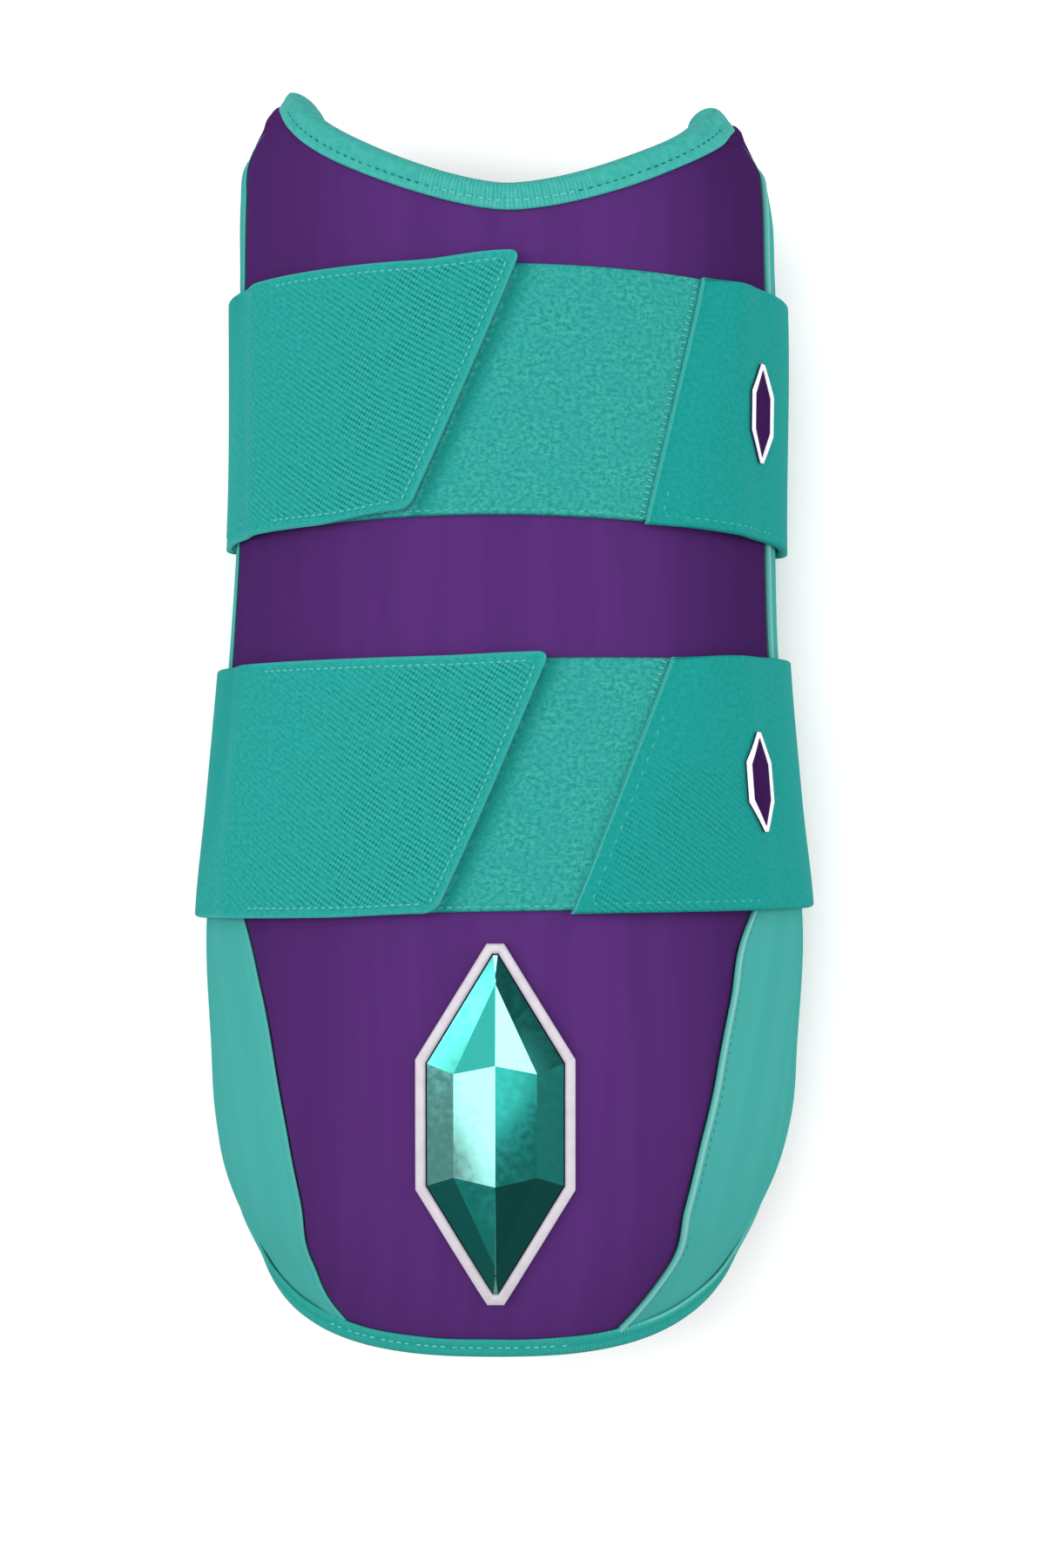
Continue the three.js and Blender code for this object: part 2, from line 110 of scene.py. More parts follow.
# Straps, as in the solids apart from the tabs' ends and rise. Middle is a share of the length, droop and lean
# are shares of the webbing's width, fold and tab are shares of the half width at the lower and upper edge, and
# mark is in quarter turns. Weave is the strength of the weave beside the fold, tick the share of the width at
# which the fold's threads start, and dots the share at which the stitches beside it end.
STRAPS = {
    "upper": dict(
        middle=0.763, droop=0.085, lean=0.008, fold=(0.48, 0.68), tab=(-0.334, 0.049), mark=0.66, rise=1.6,
        weave=0, tick=0.01, dots=0.16),
    "lower": dict(
        middle=0.452, droop=0.02, lean=-0.02, fold=(0.21, 0.57), tab=(-0.209, 0.156), mark=0.6, rise=0.5,
        weave=0.8, tick=0.84, dots=0.78),
}

BADGE_X = -1.5
BADGE_WIDTH = 31
BADGE_SHOULDER = 0.36
BADGE_TIP = 3.4
BADGE_ROOM = (5.6, 11)
BADGE_RIM = 2
BADGE_RISE = 1.7
MARK = dict(width=8.4, height=20, shoulder=0.4, tip=1.2)

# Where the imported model's origin lies in the solids' own coordinates
ORIGIN = np.array((0.1445, 0.4768, 0.0))

QUARTER = math.pi / 2
STEP = 1e-3
LOOP_TOP = GAP + LOOP
COVER = PANEL + GAP
RIM_DEPTH = COVER + RIM_PAD


def mix(a, b, t):
    return a + (b - a) * t


def ease(start, end, at):
    t = np.clip((np.asarray(at, float) - start) / (end - start), 0, 1)
    return t * t * (3 - 2 * t)


def bump(at, middle, width):
    return np.exp(-((np.asarray(at, float) - middle) / width) ** 2)


def by_side(table, angle):
    return np.where(angle < 0, table[-1], table[1])


def through(rows, column, at):
    """Smooth curve through the rows of a table, straight past its ends."""
    at = np.asarray(at, float)
    x, y = rows[:, 0], rows[:, column]
    span = np.diff(x)
    slope = np.diff(y) / span
    middle = (slope[:-1] * span[1:] + slope[1:] * span[:-1]) / (span[1:] + span[:-1])
    lean = np.concatenate((slope[:1], middle, slope[-1:]))
    k = np.clip(np.searchsorted(x, at, side="right") - 1, 0, len(span) - 1)
    t = (at - x[k]) / span[k]
    inside = (
        (2 * t**3 - 3 * t**2 + 1) * y[k] + (t**3 - 2 * t**2 + t) * span[k] * lean[k]
        + (3 * t**2 - 2 * t**3) * y[k + 1] + (t**3 - t**2) * span[k] * lean[k + 1]
    )
    inside = np.where(at <= 0, y[0] + at * lean[0], inside)
    return np.where(at >= 1, y[-1] + (at - 1) * lean[-1], inside)


def share_at(y):
    return y / LENGTH + 0.5


def half_width_at(y):
    return HALF_WIDTH * through(SECTIONS, HALF_WIDTHS, share_at(y))


def skin(angle, y):
    angle, y = np.broadcast_arrays(np.asarray(angle, float), np.asarray(y, float))
    across, up = np.sin(angle), np.cos(angle)
    power = np.where(up >= 0, ROUND_FRONT, SQUARE_BACK)
    reach = (np.abs(across) ** power + np.abs(up) ** power) ** (-1 / power)
    crown = CROWN * through(SECTIONS, CROWNS, share_at(y)) - WIDEST
    height = np.where(up >= 0, crown, WIDEST - BACK)
    sway = HALF_WIDTH * through(SECTIONS, SWAYS, share_at(y))
    return np.stack((sway + half_width_at(y) * reach * across, y, WIDEST + height * reach * up), -1)


def unit(v):
    return v / np.maximum(np.linalg.norm(v, axis=-1, keepdims=True), 1e-12)


def roundwards(angle, y):
    return (skin(angle + STEP, y) - skin(angle - STEP, y)) / (2 * STEP)


def lengthwards(angle, y):
    return (skin(angle, y + STEP) - skin(angle, y - STEP)) / (2 * STEP)


def radius_at(angle, y):
    return np.linalg.norm(roundwards(angle, y), axis=-1)


def outwards(angle, y):
    return unit(np.cross(roundwards(angle, y), lengthwards(angle, y)))


def lifted(angle, y, lift):
    return skin(angle, y) + outwards(angle, y) * np.asarray(lift, float)[..., None]


def angle_across(share):
    across = np.abs(share)
    up = (1 - across**ROUND_FRONT) ** (1 / ROUND_FRONT)
    return np.sign(share) * np.arctan2(across, up)


def smooth_least(a, b, width):
    share = np.clip(0.5 + (b - a) / (2 * width), 0, 1)
    return mix(b, a, share) - width * share * (1 - share)


def upper_rim(angle):
    turn = np.abs(angle)
    rise = by_side(SCOOP_RISE, angle)
    scoop = LENGTH / 2 - SCOOP_DEPTH + rise * np.sin(np.minimum(turn, QUARTER)) ** SCOOP_FLATNESS
    horn = LENGTH / 2 - HORN_FALL * (turn - math.radians(HORN_ANGLE))
    return smooth_least(scoop, horn, HORN_ROUND) - HORN_LEAN * np.sin(angle)


def lower_rim(angle):
    cup = CUP_RISE * (1 - np.cos(angle)) ** CUP_FLATNESS
    return cup + CUP_LEAN * np.maximum(0, np.sin(angle)) ** 3 - LENGTH / 2


def wing_angle(along):
    def cut(corner, distance):
        angle, reach = corner
        share = np.clip(1 - distance / reach, 0, 1)
        return (WING_ANGLE - angle) * (1 - np.sqrt(1 - share**2))

    along = np.asarray(along, float)
    return np.radians(WING_ANGLE - cut(TOP_CORNER, (1 - along) * LENGTH) - cut(CUP_CORNER, along * LENGTH))


def seam_angle(side, along):
    return side * QUARTER * through(SEAM, LEFT_TURN if side < 0 else RIGHT_TURN, along)


def line_at(angle, along):
    return mix(lower_rim(angle), upper_rim(angle), along)


def rim_loop(count):
    """Angle and y round the rim, from the lower left corner along the cup, up the right wing and back."""
    even = np.arange(count) / count
    slow = (1 - np.cos(math.pi * even)) / 2
    sides = np.concatenate((2 * even - 1, np.ones(count), 1 - 2 * even, -np.ones(count)))
    alongs = np.concatenate((np.zeros(count), slow, np.ones(count), 1 - slow))
    angle = sides * wing_angle(alongs)
    return angle, line_at(angle, alongs)


RIM = skin(*rim_loop(160))
BATCH = 4000


def rim_distance(points):
    flat = points.reshape(-1, 3)
    batches = (flat[k:k + BATCH, None] for k in range(0, len(flat), BATCH))
    least = [np.linalg.norm(batch - RIM, axis=-1).min(1) for batch in batches]
    return np.concatenate(least).reshape(points.shape[:-1])


def turn_from(angle):
    return np.abs(np.mod(np.asarray(angle) + math.pi, 2 * math.pi) - math.pi)


def strap_line(strap, angle, across):
    sides = strap["droop"] * ease(0, math.radians(DROOP_ANGLE), turn_from(angle))
    return (strap["middle"] - 0.5) * LENGTH - STRAP_WIDTH * (sides + strap["lean"] * np.sin(angle)) + across


def strap_lift(angle):
    turn = np.degrees(turn_from(angle))
    reach = np.where(angle > math.pi, LOOP_LEFT, LOOP_RIGHT)
    on_loop = LOOP_TOP * (1 - ease(0, LOOP_RAMP[1] - LOOP_RAMP[0], turn - reach - LOOP_RAMP[0]))
    wing = ease(0, WING_RAMP[0] - WING_RAMP[1], turn - WING_ANGLE + WING_RAMP[0])
    return STRAP_GAP + on_loop + (GAP + BINDING + SEAM_GAP) * wing


def strap_thickness(angle):
    thin = np.where(angle > math.pi, ease(*np.radians(TAB_RAMP), turn_from(angle)), 1)
    return mix(TAB, STRAP, thin)


# Grids and meshes

# Spacing of a grid's first row beside an edge, and the rough lengths round the arm that its columns divide
FINEST = 0.12
GIRTH = dict(pad=240, front=150, side=80, patch=100, strap=380)


def stops(length, step, reach=3.0):
    """Places from 0 to length in millimetres, close together near both ends."""
    near = [0.0]
    gap = FINEST
    while near[-1] < reach and near[-1] < length / 3:
        near.append(near[-1] + gap)
        gap = min(step, gap * 1.18)
    middle = length - 2 * near[-1]
    count = max(2, int(round(middle / step)))
    even = near[-1] + middle * np.arange(1, count) / count
    return np.concatenate((near, even, length - np.array(near[::-1])))


def share_stops(length, step, reach=3.0):
    return stops(length, step, reach) / length


def rounded(distance, radius, least=0.1):
    """Share of its full thickness that a sheet has at a distance from its edge."""
    t = np.clip(1 - np.asarray(distance, float) / radius, 0, 1)
    return np.maximum(least, np.sqrt(1 - t**2))


def lengths_along(points, axis):
    steps = np.linalg.norm(np.diff(points, axis=axis), axis=-1)
    start = np.zeros_like(np.take(steps, [0], axis))
    return np.concatenate((start, np.cumsum(steps, axis)), axis)


def quads_of(index):
    return np.stack((index[:-1, :-1], index[:-1, 1:], index[1:, 1:], index[1:, :-1]), -1).reshape(-1, 4)


def closed(index, round_rows=False):
    """A grid of numbers with its first column again at its end, and its first row too if round_rows."""
    return np.pad(index, ((0, int(round_rows)), (0, 1)), mode="wrap")


def in_metres(points):
    return (np.asarray(points, float) - ORIGIN) * 1e-3


def add_field(mesh, label, values, kind="FLOAT", domain="POINT"):
    field = mesh.attributes.new(label, kind, domain)
    field.data.foreach_set("value" if kind == "FLOAT" else "vector", np.asarray(values, np.float32).ravel())


def linked(name, data):
    made = bpy.data.objects.new(name, data)
    bpy.context.scene.collection.objects.link(made)
    return made


# Tone, where given, is mostly painted highlight, shade and shadow; on the badge's facets it is painted
# reflection, and on the marks the print.
def mesh_object(name, points, faces, cloth, tone=None, zone=None):
    """Closed body with its faces turned outwards, and its cloth coordinates, tone and zone, which are given for
    each point or, where they are as many as the faces, for each face."""
    mesh = bpy.data.meshes.new(name)
    placed = in_metres(points)
    fans = np.array([(face[0], face[k], face[k + 1]) for face in faces for k in range(1, len(face) - 1)])
    a, b, c = (placed[fans[:, k]] for k in range(3))
    if (a * np.cross(b, c)).sum() < 0:
        faces = [face[::-1] for face in faces]
    mesh.from_pydata(placed.tolist(), [], faces)
    mesh.update()
    for label, values in (("tone", tone), ("zone", zone)):
        by_face = values is not None and len(values) == len(faces)
        values = np.zeros(len(placed)) if values is None else values
        add_field(mesh, label, values, domain="FACE" if by_face else "POINT")
    add_field(mesh, "cloth", cloth, "FLOAT_VECTOR")
    mesh.shade_smooth()
    return linked(name, mesh)


def wall(name, outer, inner, cloth, tone=None, zone=None):
    """Closed sheet between two grids of points."""
    rows, columns = outer.shape[:2]
    front = np.arange(rows * columns).reshape(rows, columns)
    back = front + rows * columns
    edge = np.concatenate((front[0, :-1], front[:-1, -1], front[-1, :0:-1], front[:0:-1, 0]))
    rear = edge + rows * columns
    sides = np.stack((edge, rear, np.roll(rear, -1), np.roll(edge, -1)), -1)
    faces = np.concatenate((quads_of(front), quads_of(back)[:, ::-1], sides))
    points = np.concatenate((outer.reshape(-1, 3), inner.reshape(-1, 3)))

    def twice(values):
        return None if values is None else np.concatenate((values.reshape(rows * columns, -1),) * 2)

    return mesh_object(name, points, faces.tolist(), twice(cloth), twice(tone), twice(zone))


def cloth_field(along, across):
    along, across = np.broadcast_arrays(along, across)
    return np.stack((along, across, np.zeros_like(along)), -1)


def dress(piece, node, material):
    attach(piece, "root")
    if node:
        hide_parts(node)
    piece.data.materials.append(material)
    return piece


# Materials


def linear(color):
    """A screen colour from 0 to 255, in the linear light that the shader works in."""
    def one(v):
        v /= 255
        return v / 12.92 if v <= 0.04045 else ((v + 0.055) / 1.055) ** 2.4

    return (*map(one, color), 1)


def toward(color, other, share):
    return tuple(mix(channel, other, share) for channel in color[:3]) + (1,)


class Finish:
    """A material's node tree and short ways to add to it."""

    def __init__(self, name, roughness, specular=0.0, sheen=0.0, metallic=0.0, fuzz=(1, 1, 1, 1)):
        self.material = bpy.data.materials.new(name)
        self.material.use_nodes = True
        self.tree = self.material.node_tree
        self.shader = self.tree.nodes["Principled BSDF"]
        self.set("Roughness", roughness)
        self.set("Specular IOR Level", specular)
        self.set("Sheen Weight", sheen)
        self.set("Sheen Tint", fuzz)
        self.set("Metallic", metallic)

    def set(self, label, value):
        self.put(self.shader.inputs[label], value)

    def put(self, socket, value):
        if isinstance(value, bpy.types.NodeSocket):
            self.tree.links.new(value, socket)
        else:
            socket.default_value = value

    def node(self, kind, values, **settings):
        made = self.tree.nodes.new(kind)
        for key, value in settings.items():
            setattr(made, key, value)
        for socket, value in values.items():
            self.put(made.inputs[socket], value)
        return made

    def math(self, operation, *values):
        return self.node("ShaderNodeMath", dict(enumerate(values)), operation=operation).outputs[0]

    def times(self, first, *others):
        for other in others:
            first = self.math("MULTIPLY", first, other)
        return first

    def attribute(self, name, out="Fac"):
        return self.node("ShaderNodeAttribute", {}, attribute_name=name).outputs[out]

    def noise(self, scale, detail=2.0, roughness=0.5, stretch=(1, 1, 1)):
        """Noise over the cloth, whose coordinates in millimetres are multiplied by stretch first."""
        places = {0: self.attribute("cloth", "Vector"), 1: stretch}
        vector = self.node("ShaderNodeVectorMath", places, operation="MULTIPLY").outputs[0]
        values = {"Vector": vector, "Scale": scale, "Detail": detail, "Roughness": roughness}
        return self.node("ShaderNodeTexNoise", values).outputs["Fac"]

    def turned(self, degrees=0):
        """The cloth's two coordinates after a turn."""
        split = self.node("ShaderNodeSeparateXYZ", {0: self.attribute("cloth", "Vector")})
        x, y = split.outputs[0], split.outputs[1]
        cosine, sine = math.cos(math.radians(degrees)), math.sin(math.radians(degrees))
        along = self.math("ADD", self.times(x, cosine), self.times(y, sine))
        across = self.math("SUBTRACT", self.times(y, cosine), self.times(x, sine))
        return along, across

    def wave(self, along, pitch):
        return self.math("SINE", self.times(along, 2 * math.pi / pitch))

    def ranged(self, value, low, high, to_low=0.0, to_high=1.0):
        values = dict(enumerate((value, low, high, to_low, to_high)))
        return self.node("ShaderNodeMapRange", values, interpolation_type="SMOOTHSTEP").outputs[0]

    def blend(self, share, first, second, kind="MIX"):
        values = {0: share, 6: first, 7: second}
        return self.node("ShaderNodeMix", values, data_type="RGBA", blend_type=kind).outputs[2]

    def mottled(self, grain, base, light, dark, share, low=0.3, high=0.7):
        """A share of the base colour over patches of dark and light."""
        return self.blend(share, self.blend(self.ranged(grain, low, high), dark, light), base)

    # Tone mostly holds painted highlight, painted shade and painted shadow.
    def toned(self, color, light, dark):
        """A colour that turns light where tone is 1 and dark where it is -1."""
        tone = self.attribute("tone")
        color = self.blend(self.ranged(tone, 0.0, 1.0), color, light)
        self.set("Base Color", self.blend(self.ranged(tone, 0.0, -1.0), color, dark))

    def relief(self, height, depth, normal=None):
        """Bump of a height from 0 to 1, depth in millimetres, over the bump that normal comes from."""
        values = {"Strength": 1.0, "Distance": depth * 1e-3, "Height": height}
        if normal is not None:
            values["Normal"] = normal
        made = self.node("ShaderNodeBump", values).outputs[0]
        self.set("Normal", made)
        return made


def laminate(name, base, light, dark, roughness):
    """Smooth coated cloth with faint lengthwise bands of tone."""
    finish = Finish(name, roughness, sheen=0.12, fuzz=light)
    bands = finish.noise(0.16, stretch=(1, 0.05, 1))
    mixed = finish.mottled(bands, base, light, dark, share=0.6)
    finish.toned(mixed, toward(base, 1, 0.22), toward(base, 0, 0.55))
    finish.relief(finish.noise(1.4), depth=0.02)
    return finish.material


def ribbed_tape(name, base, light, dark):
    """Binding tape, smooth and stretched, with fine ribs across it where zone is 1."""
    finish = Finish(name, 0.66, specular=0.03)
    wander = finish.noise(0.9, stretch=(1, 0.25, 1))
    along = finish.math("ADD", finish.turned()[0], finish.times(wander, 0.8))
    rib = finish.times(finish.wave(along, pitch=0.78), finish.attribute("zone"))
    speck = finish.noise(0.7, detail=3)
    mixed = finish.mottled(speck, base, light, dark, share=0.8)
    mixed = finish.blend(finish.ranged(rib, 0.0, 1.0, 0.0, 0.5), mixed, light)
    mixed = finish.blend(finish.ranged(rib, 0.0, -1.0, 0.0, 0.55), mixed, dark)
    finish.toned(mixed, light, dark)
    ribs = finish.relief(finish.ranged(rib, -1, 1), depth=0.09)
    finish.relief(speck, depth=0.05, normal=ribs)
    return finish.material


def webbing(name, base, light, dark, hole):
    """Elastic webbing. Where zone is 1 it is the coarse weave of the hook tab, in slanting rows of grains."""
    finish = Finish(name, 0.74, specular=0.02, sheen=0.2, fuzz=light)
    along, across = finish.turned(-35)
    across = finish.math("ADD", across, finish.times(finish.noise(0.22), 0.3))
    row = finish.wave(across, pitch=1.05)
    pick = finish.wave(finish.math("ADD", along, finish.times(across, 0.1)), pitch=0.71)
    patchy = finish.ranged(finish.noise(0.16, detail=3), 0.32, 0.6, 0.45, 1.0)
    zone = finish.times(finish.attribute("zone"), patchy)
    uneven = finish.ranged(finish.noise(0.8, detail=1), 0.35, 0.65, 0.5, 1.0)
    knots = finish.times(finish.ranged(row, 0.0, -0.9), finish.ranged(pick, -0.7, 0.6, 0.12, 1.0))
    groove = finish.times(knots, uneven, zone)
    humps = finish.times(finish.ranged(pick, 0.4, -0.7, 0.1, 1.0), finish.ranged(row, -0.4, 0.7))
    grain = finish.times(humps, uneven, zone)
    speck = finish.noise(1.1, detail=3, roughness=0.6)
    mixed = finish.mottled(speck, base, light, dark, share=0.72)
    mixed = finish.blend(groove, mixed, hole)
    mixed = finish.blend(finish.times(grain, 0.8), mixed, light)
    finish.toned(mixed, light, dark)
    straight = finish.turned()
    fine = finish.times(finish.wave(straight[0], pitch=0.7), finish.wave(straight[1], pitch=0.62))
    plain = finish.relief(finish.ranged(fine, -1, 1), depth=0.03)
    raised = finish.math("SUBTRACT", finish.times(grain, 0.6), groove)
    coarse = finish.relief(finish.ranged(raised, -1, 1), depth=0.2, normal=plain)
    finish.relief(speck, depth=0.06, normal=coarse)
    return finish.material


def pile(name, base, light, dark):
    """Fuzzy loop pile: blotches of light and dark tufts."""
    finish = Finish(name, 0.9, specular=0.02, sheen=0.12, fuzz=light)
    streaks = finish.noise(1.1, detail=4, roughness=0.7, stretch=(0.9, 1.1, 1))
    tufts = finish.noise(1.9, detail=3, roughness=0.6, stretch=(0.7, 1.2, 1))
    blotch = finish.noise(0.13, detail=3, stretch=(1, 1.3, 1))
    share = finish.ranged(blotch, 0.3, 0.7, 0.65, 0.25)
    mixed = finish.mottled(streaks, base, light, dark, share, low=0.36, high=0.64)
    mixed = finish.blend(finish.ranged(tufts, 0.46, 0.28, 0.0, 0.25), mixed, dark)
    mixed = finish.blend(finish.ranged(tufts, 0.56, 0.72, 0.0, 0.8), mixed, light)
    finish.toned(mixed, light, dark)
    loops = finish.relief(streaks, depth=0.2)
    finish.relief(tufts, depth=0.16, normal=loops)
    return finish.material


def foam_face(name, base, light, dark):
    """Knit face of the foam, in fine wales."""
    finish = Finish(name, 0.9, specular=0.15, sheen=0.2)
    along, across = finish.turned()
    wale = finish.times(finish.wave(along, pitch=1.6), finish.wave(across, pitch=1.1))
    speck = finish.noise(0.8, detail=4)
    finish.set("Base Color", finish.mottled(speck, base, light, dark, share=0.55, low=0.35, high=0.65))
    knit = finish.relief(finish.ranged(wale, -1, 1), depth=0.16)
    finish.relief(speck, depth=0.2, normal=knit)
    return finish.material


def thread(name, base, dark):
    finish = Finish(name, 0.7, specular=0.04)
    twist = finish.noise(2.4)
    finish.set("Base Color", finish.blend(finish.ranged(twist, 0.3, 0.7), base, dark))
    finish.relief(twist, depth=0.08)
    return finish.material


def painted_metal(name, base, worn):
    finish = Finish(name, 0.42, specular=0.35)
    wear = finish.ranged(finish.noise(0.35, detail=3), 0.35, 0.7)
    finish.set("Base Color", finish.blend(wear, base, worn))
    finish.relief(finish.noise(2.0), depth=0.01)
    return finish.material


def mirror(name, dark, middle, light):
    """Bright metallic facets, each with its own depth of colour as a painted reflection."""
    finish = Finish(name, 0.16, specular=0.6, metallic=0.85)
    tone = finish.attribute("tone")
    mixed = finish.blend(finish.ranged(tone, 0.0, 0.5), dark, middle)
    finish.set("Base Color", finish.blend(finish.ranged(tone, 0.5, 1.0), mixed, light))
    finish.set("Roughness", finish.ranged(finish.noise(0.6, detail=3), 0.3, 0.7, 0.12, 0.22))
    return finish.material


def printed(name, face, line):
    """Raised print: a plum face with a pale outline where tone is 1."""
    finish = Finish(name, 0.7, specular=0.02)
    grain = finish.noise(1.5, detail=3)
    mixed = finish.blend(finish.ranged(finish.attribute("tone"), 0.35, 0.65), face, line)
    darker = finish.blend(1.0, mixed, (0.82, 0.82, 0.84, 1), "MULTIPLY")
    finish.set("Base Color", finish.blend(finish.ranged(grain, 0.35, 0.65, 0.0, 0.6), mixed, darker))
    finish.relief(grain, depth=0.06)
    return finish.material


def colored(make, name, *colors, **settings):
    return make(name, *map(linear, colors), **settings)


PLUM = colored(laminate, "plum_laminate", (72, 38, 97), (77, 41, 103), (66, 34, 90), roughness=0.5)
TEAL = colored(laminate, "teal_laminate", (60, 144, 138), (65, 148, 142), (55, 139, 133), roughness=0.52)
TAPE = colored(ribbed_tape, "teal_tape", (52, 147, 139), (86, 168, 160), (20, 126, 117))
WEB = colored(webbing, "teal_webbing", (22, 130, 124), (62, 160, 153), (8, 119, 113), (0, 94, 89))
PILE = colored(pile, "teal_pile", (36, 135, 128), (64, 156, 148), (16, 116, 110))
FOAM = colored(foam_face, "teal_foam_face", (40, 130, 123), (58, 147, 140), (24, 110, 104))
THREAD = colored(thread, "teal_thread", (104, 184, 175), (70, 162, 153))
SOFT_THREAD = colored(thread, "soft_teal_thread", (78, 166, 158), (52, 148, 140))
DARK_THREAD = colored(thread, "deep_teal_thread", (14, 112, 104), (8, 98, 91))
SILVER = colored(painted_metal, "satin_lilac_grey", (182, 176, 183), (174, 168, 176))
# The mirror's dark, middle and light colours are painted reflections, given to each facet by its tone.
CHROME = colored(mirror, "teal_mirror", (9, 72, 67), (24, 128, 120), (126, 182, 175))
PRINT = colored(printed, "plum_print", (46, 14, 66), (222, 220, 226))

# Foam body and cover panels


def pad_body():
    u, v = np.meshgrid(share_stops(GIRTH["pad"], 2.0), share_stops(LENGTH, 2.0))
    angle = (2 * u - 1) * wing_angle(v)
    y = line_at(angle, v)
    points = skin(angle, y)
    depth = RIM_DEPTH + (PAD - RIM_PAD) * ease(SWELL_START, SWELL_START + SWELL, rim_distance(points))
    outer = lifted(angle, y, np.full_like(angle, -COVER))
    return wall("pad_body_foam", outer, lifted(angle, y, -depth), cloth_field(lengths_along(points, 1), y))


# Painted shade: how much deeper the cover's colour is towards its left and right side
PAINTED_SIDE_SHADE = {-1: 0.5, 1: 0.7}


def front_panel():
    u, v = np.meshgrid(share_stops(GIRTH["front"], 1.0), share_stops(LENGTH, 1.1))
    angle = mix(seam_angle(-1, v), seam_angle(1, v), u)
    y = line_at(angle, v)
    along = lengths_along(skin(angle, y), 1)
    edge = np.minimum(along, along[:, -1:] - along)
    full = rounded(edge, 0.9)
    outer = lifted(angle, y, PANEL / 2 * (full - 1))
    inner = lifted(angle, y, -PANEL / 2 * (full + 1))
    degrees = np.degrees(angle)
    # Painted shade: darker beside the right seam's ridge, and towards both sides where the cover turns away
    # from the light.
    tone = -0.45 * bump(edge, 0, 1.1) * (angle > 0)
    tone = tone - PAINTED_SIDE_SHADE[1] * ease(8, 62, degrees) - PAINTED_SIDE_SHADE[-1] * ease(-5, -60, degrees)
    return wall("front_panel_cloth", outer, inner, cloth_field(along - along[:, -1:] / 2, y), tone)


# How far a side panel laps over the front one, and the distance of its stitches from its edge
LAP = 0.5
SEAM_STITCH = {-1: 1.7, 1: 2.3}


def hem(side, along):
    """Lift of a side panel's edge: a thin lapped edge on the left, and a rolled ridge on the right."""
    pressed = 0.1 * bump(along, SEAM_STITCH[side], 0.35)
    if side < 0:
        return 0.3 * rounded(along, 0.3) * (1 - ease(3, 9, along)) - pressed
    ridge = 0.78 * rounded(along, 0.7) * (1 - ease(0.9, 1.75, along))
    return ridge + 0.22 * ease(0.9, 1.75, along) * (1 - ease(3.5, 9, along)) - pressed


def side_edge(side, along):
    return seam_angle(side, along) - side * (LAP - SEAM_GAP) / HALF_WIDTH


def side_panel(side, name):
    u, v = np.meshgrid(share_stops(GIRTH["side"], 1.0, reach=3.6), share_stops(LENGTH, 1.3))
    angle = mix(side_edge(side, v), side * wing_angle(v), u)
    y = line_at(angle, v)
    along = lengths_along(skin(angle, y), 1)
    lift = 0.12 * (1 - ease(2, 6, along)) + hem(side, along)
    outer = lifted(angle, y, mix(lift, -0.3, ease(0.95, 0.975, v)))
    inner = lifted(angle, y, mix(0.1, -PANEL, ease(LAP + 0.15, LAP + 0.9, along)))
    # Painted highlight on the right seam's rolled ridge and the left's lapped edge, and painted shade along the
    # stitches.
    rolled = bump(along, 0.8, 0.65) if side > 0 else 0.35 * bump(along, 0.3, 0.4)
    tone = 0.6 * rolled - 0.12 * bump(along, SEAM_STITCH[side], 0.5)
    return wall(name, outer, inner, cloth_field(side * along, y), tone)


# Binding


def stations_on(angle, y, spacing):
    """Evenly spaced places on a line over the skin, with their heading and the distance travelled."""
    travelled = lengths_along(skin(angle, y), 0)
    at = np.linspace(0, travelled[-1], int(travelled[-1] / spacing))
    angles, ys = np.interp(at, travelled, angle), np.interp(at, travelled, y)
    return angles, ys, unit(np.gradient(skin(angles, ys), axis=0)), at


def off_rim(angles, ys, heading, inward, lift, forward=0.0):
    """Points a distance inward from the rim over the skin and forward along it, and lifted off it."""
    inside = np.cross(outwards(angles, ys), heading) * inward[..., None]
    inside = inside + heading * np.broadcast_to(forward, inward.shape)[..., None]
    way = roundwards(angles, ys)
    turn = (inside * way).sum(-1) / (way**2).sum(-1)
    long = lengthwards(angles, ys)
    shift = ((inside - way * turn[..., None]) * long).sum(-1) / (long**2).sum(-1)
    return lifted(angles + turn, ys + shift, lift)


# Corners of a fold's profile: degrees round its front lip and its nose, and shares across its two faces
LIP_TURNS = (-80, -50, -20, 10, 45, 80)
FRONT_SHARES = (0.86, 0.72, 0.6, 0.5, 0.4, 0.28, 0.14, 0.0)
NOSE_TURNS = range(12, 169, 12)
BACK_SHARES = (0.0, 0.25, 0.5, 0.75, 1.0)
INNER_CORNERS = 3


def fold_profile(front, seat=0.1, shelf=0.0):
    """Line round a tape folded over the rim: its outer face from the front lip round the nose to the back lip,
    then its inner corners. Each corner has a share of the lip's width, an inward length and a lift. The front
    lip has its own thickness, its underside lifts by seat, and shelf is the share of the lip over which the
    tape keeps its full thickness."""
    half = RIM_DEPTH / 2
    top = GAP + BINDING
    corners = []
    for t in np.radians(LIP_TURNS):
        corners.append((1.0, 0.4 * (math.cos(t) - 1), seat + front / 2 * (1 + math.sin(t))))
    for share in FRONT_SHARES:
        corners.append((share, 0.0, mix(top, seat + front, float(ease(shelf, 1, share)))))
    for t in np.radians(NOSE_TURNS):
        corners.append((0.0, -NOSE * math.sin(t), (half + top) * math.cos(t) - half))
    for share in BACK_SHARES:
        corners.append((share, 0.0, -RIM_DEPTH - top))
    corners += [(1.0, 0.0, -RIM_DEPTH - GAP), (0.0, -GAP, -RIM_DEPTH - GAP), (0.0, -GAP, GAP)]
    return np.array(corners)


def on_front(profile):
    return (profile[:, 2] > 0) & (np.arange(len(profile)) < len(profile) - INNER_CORNERS)


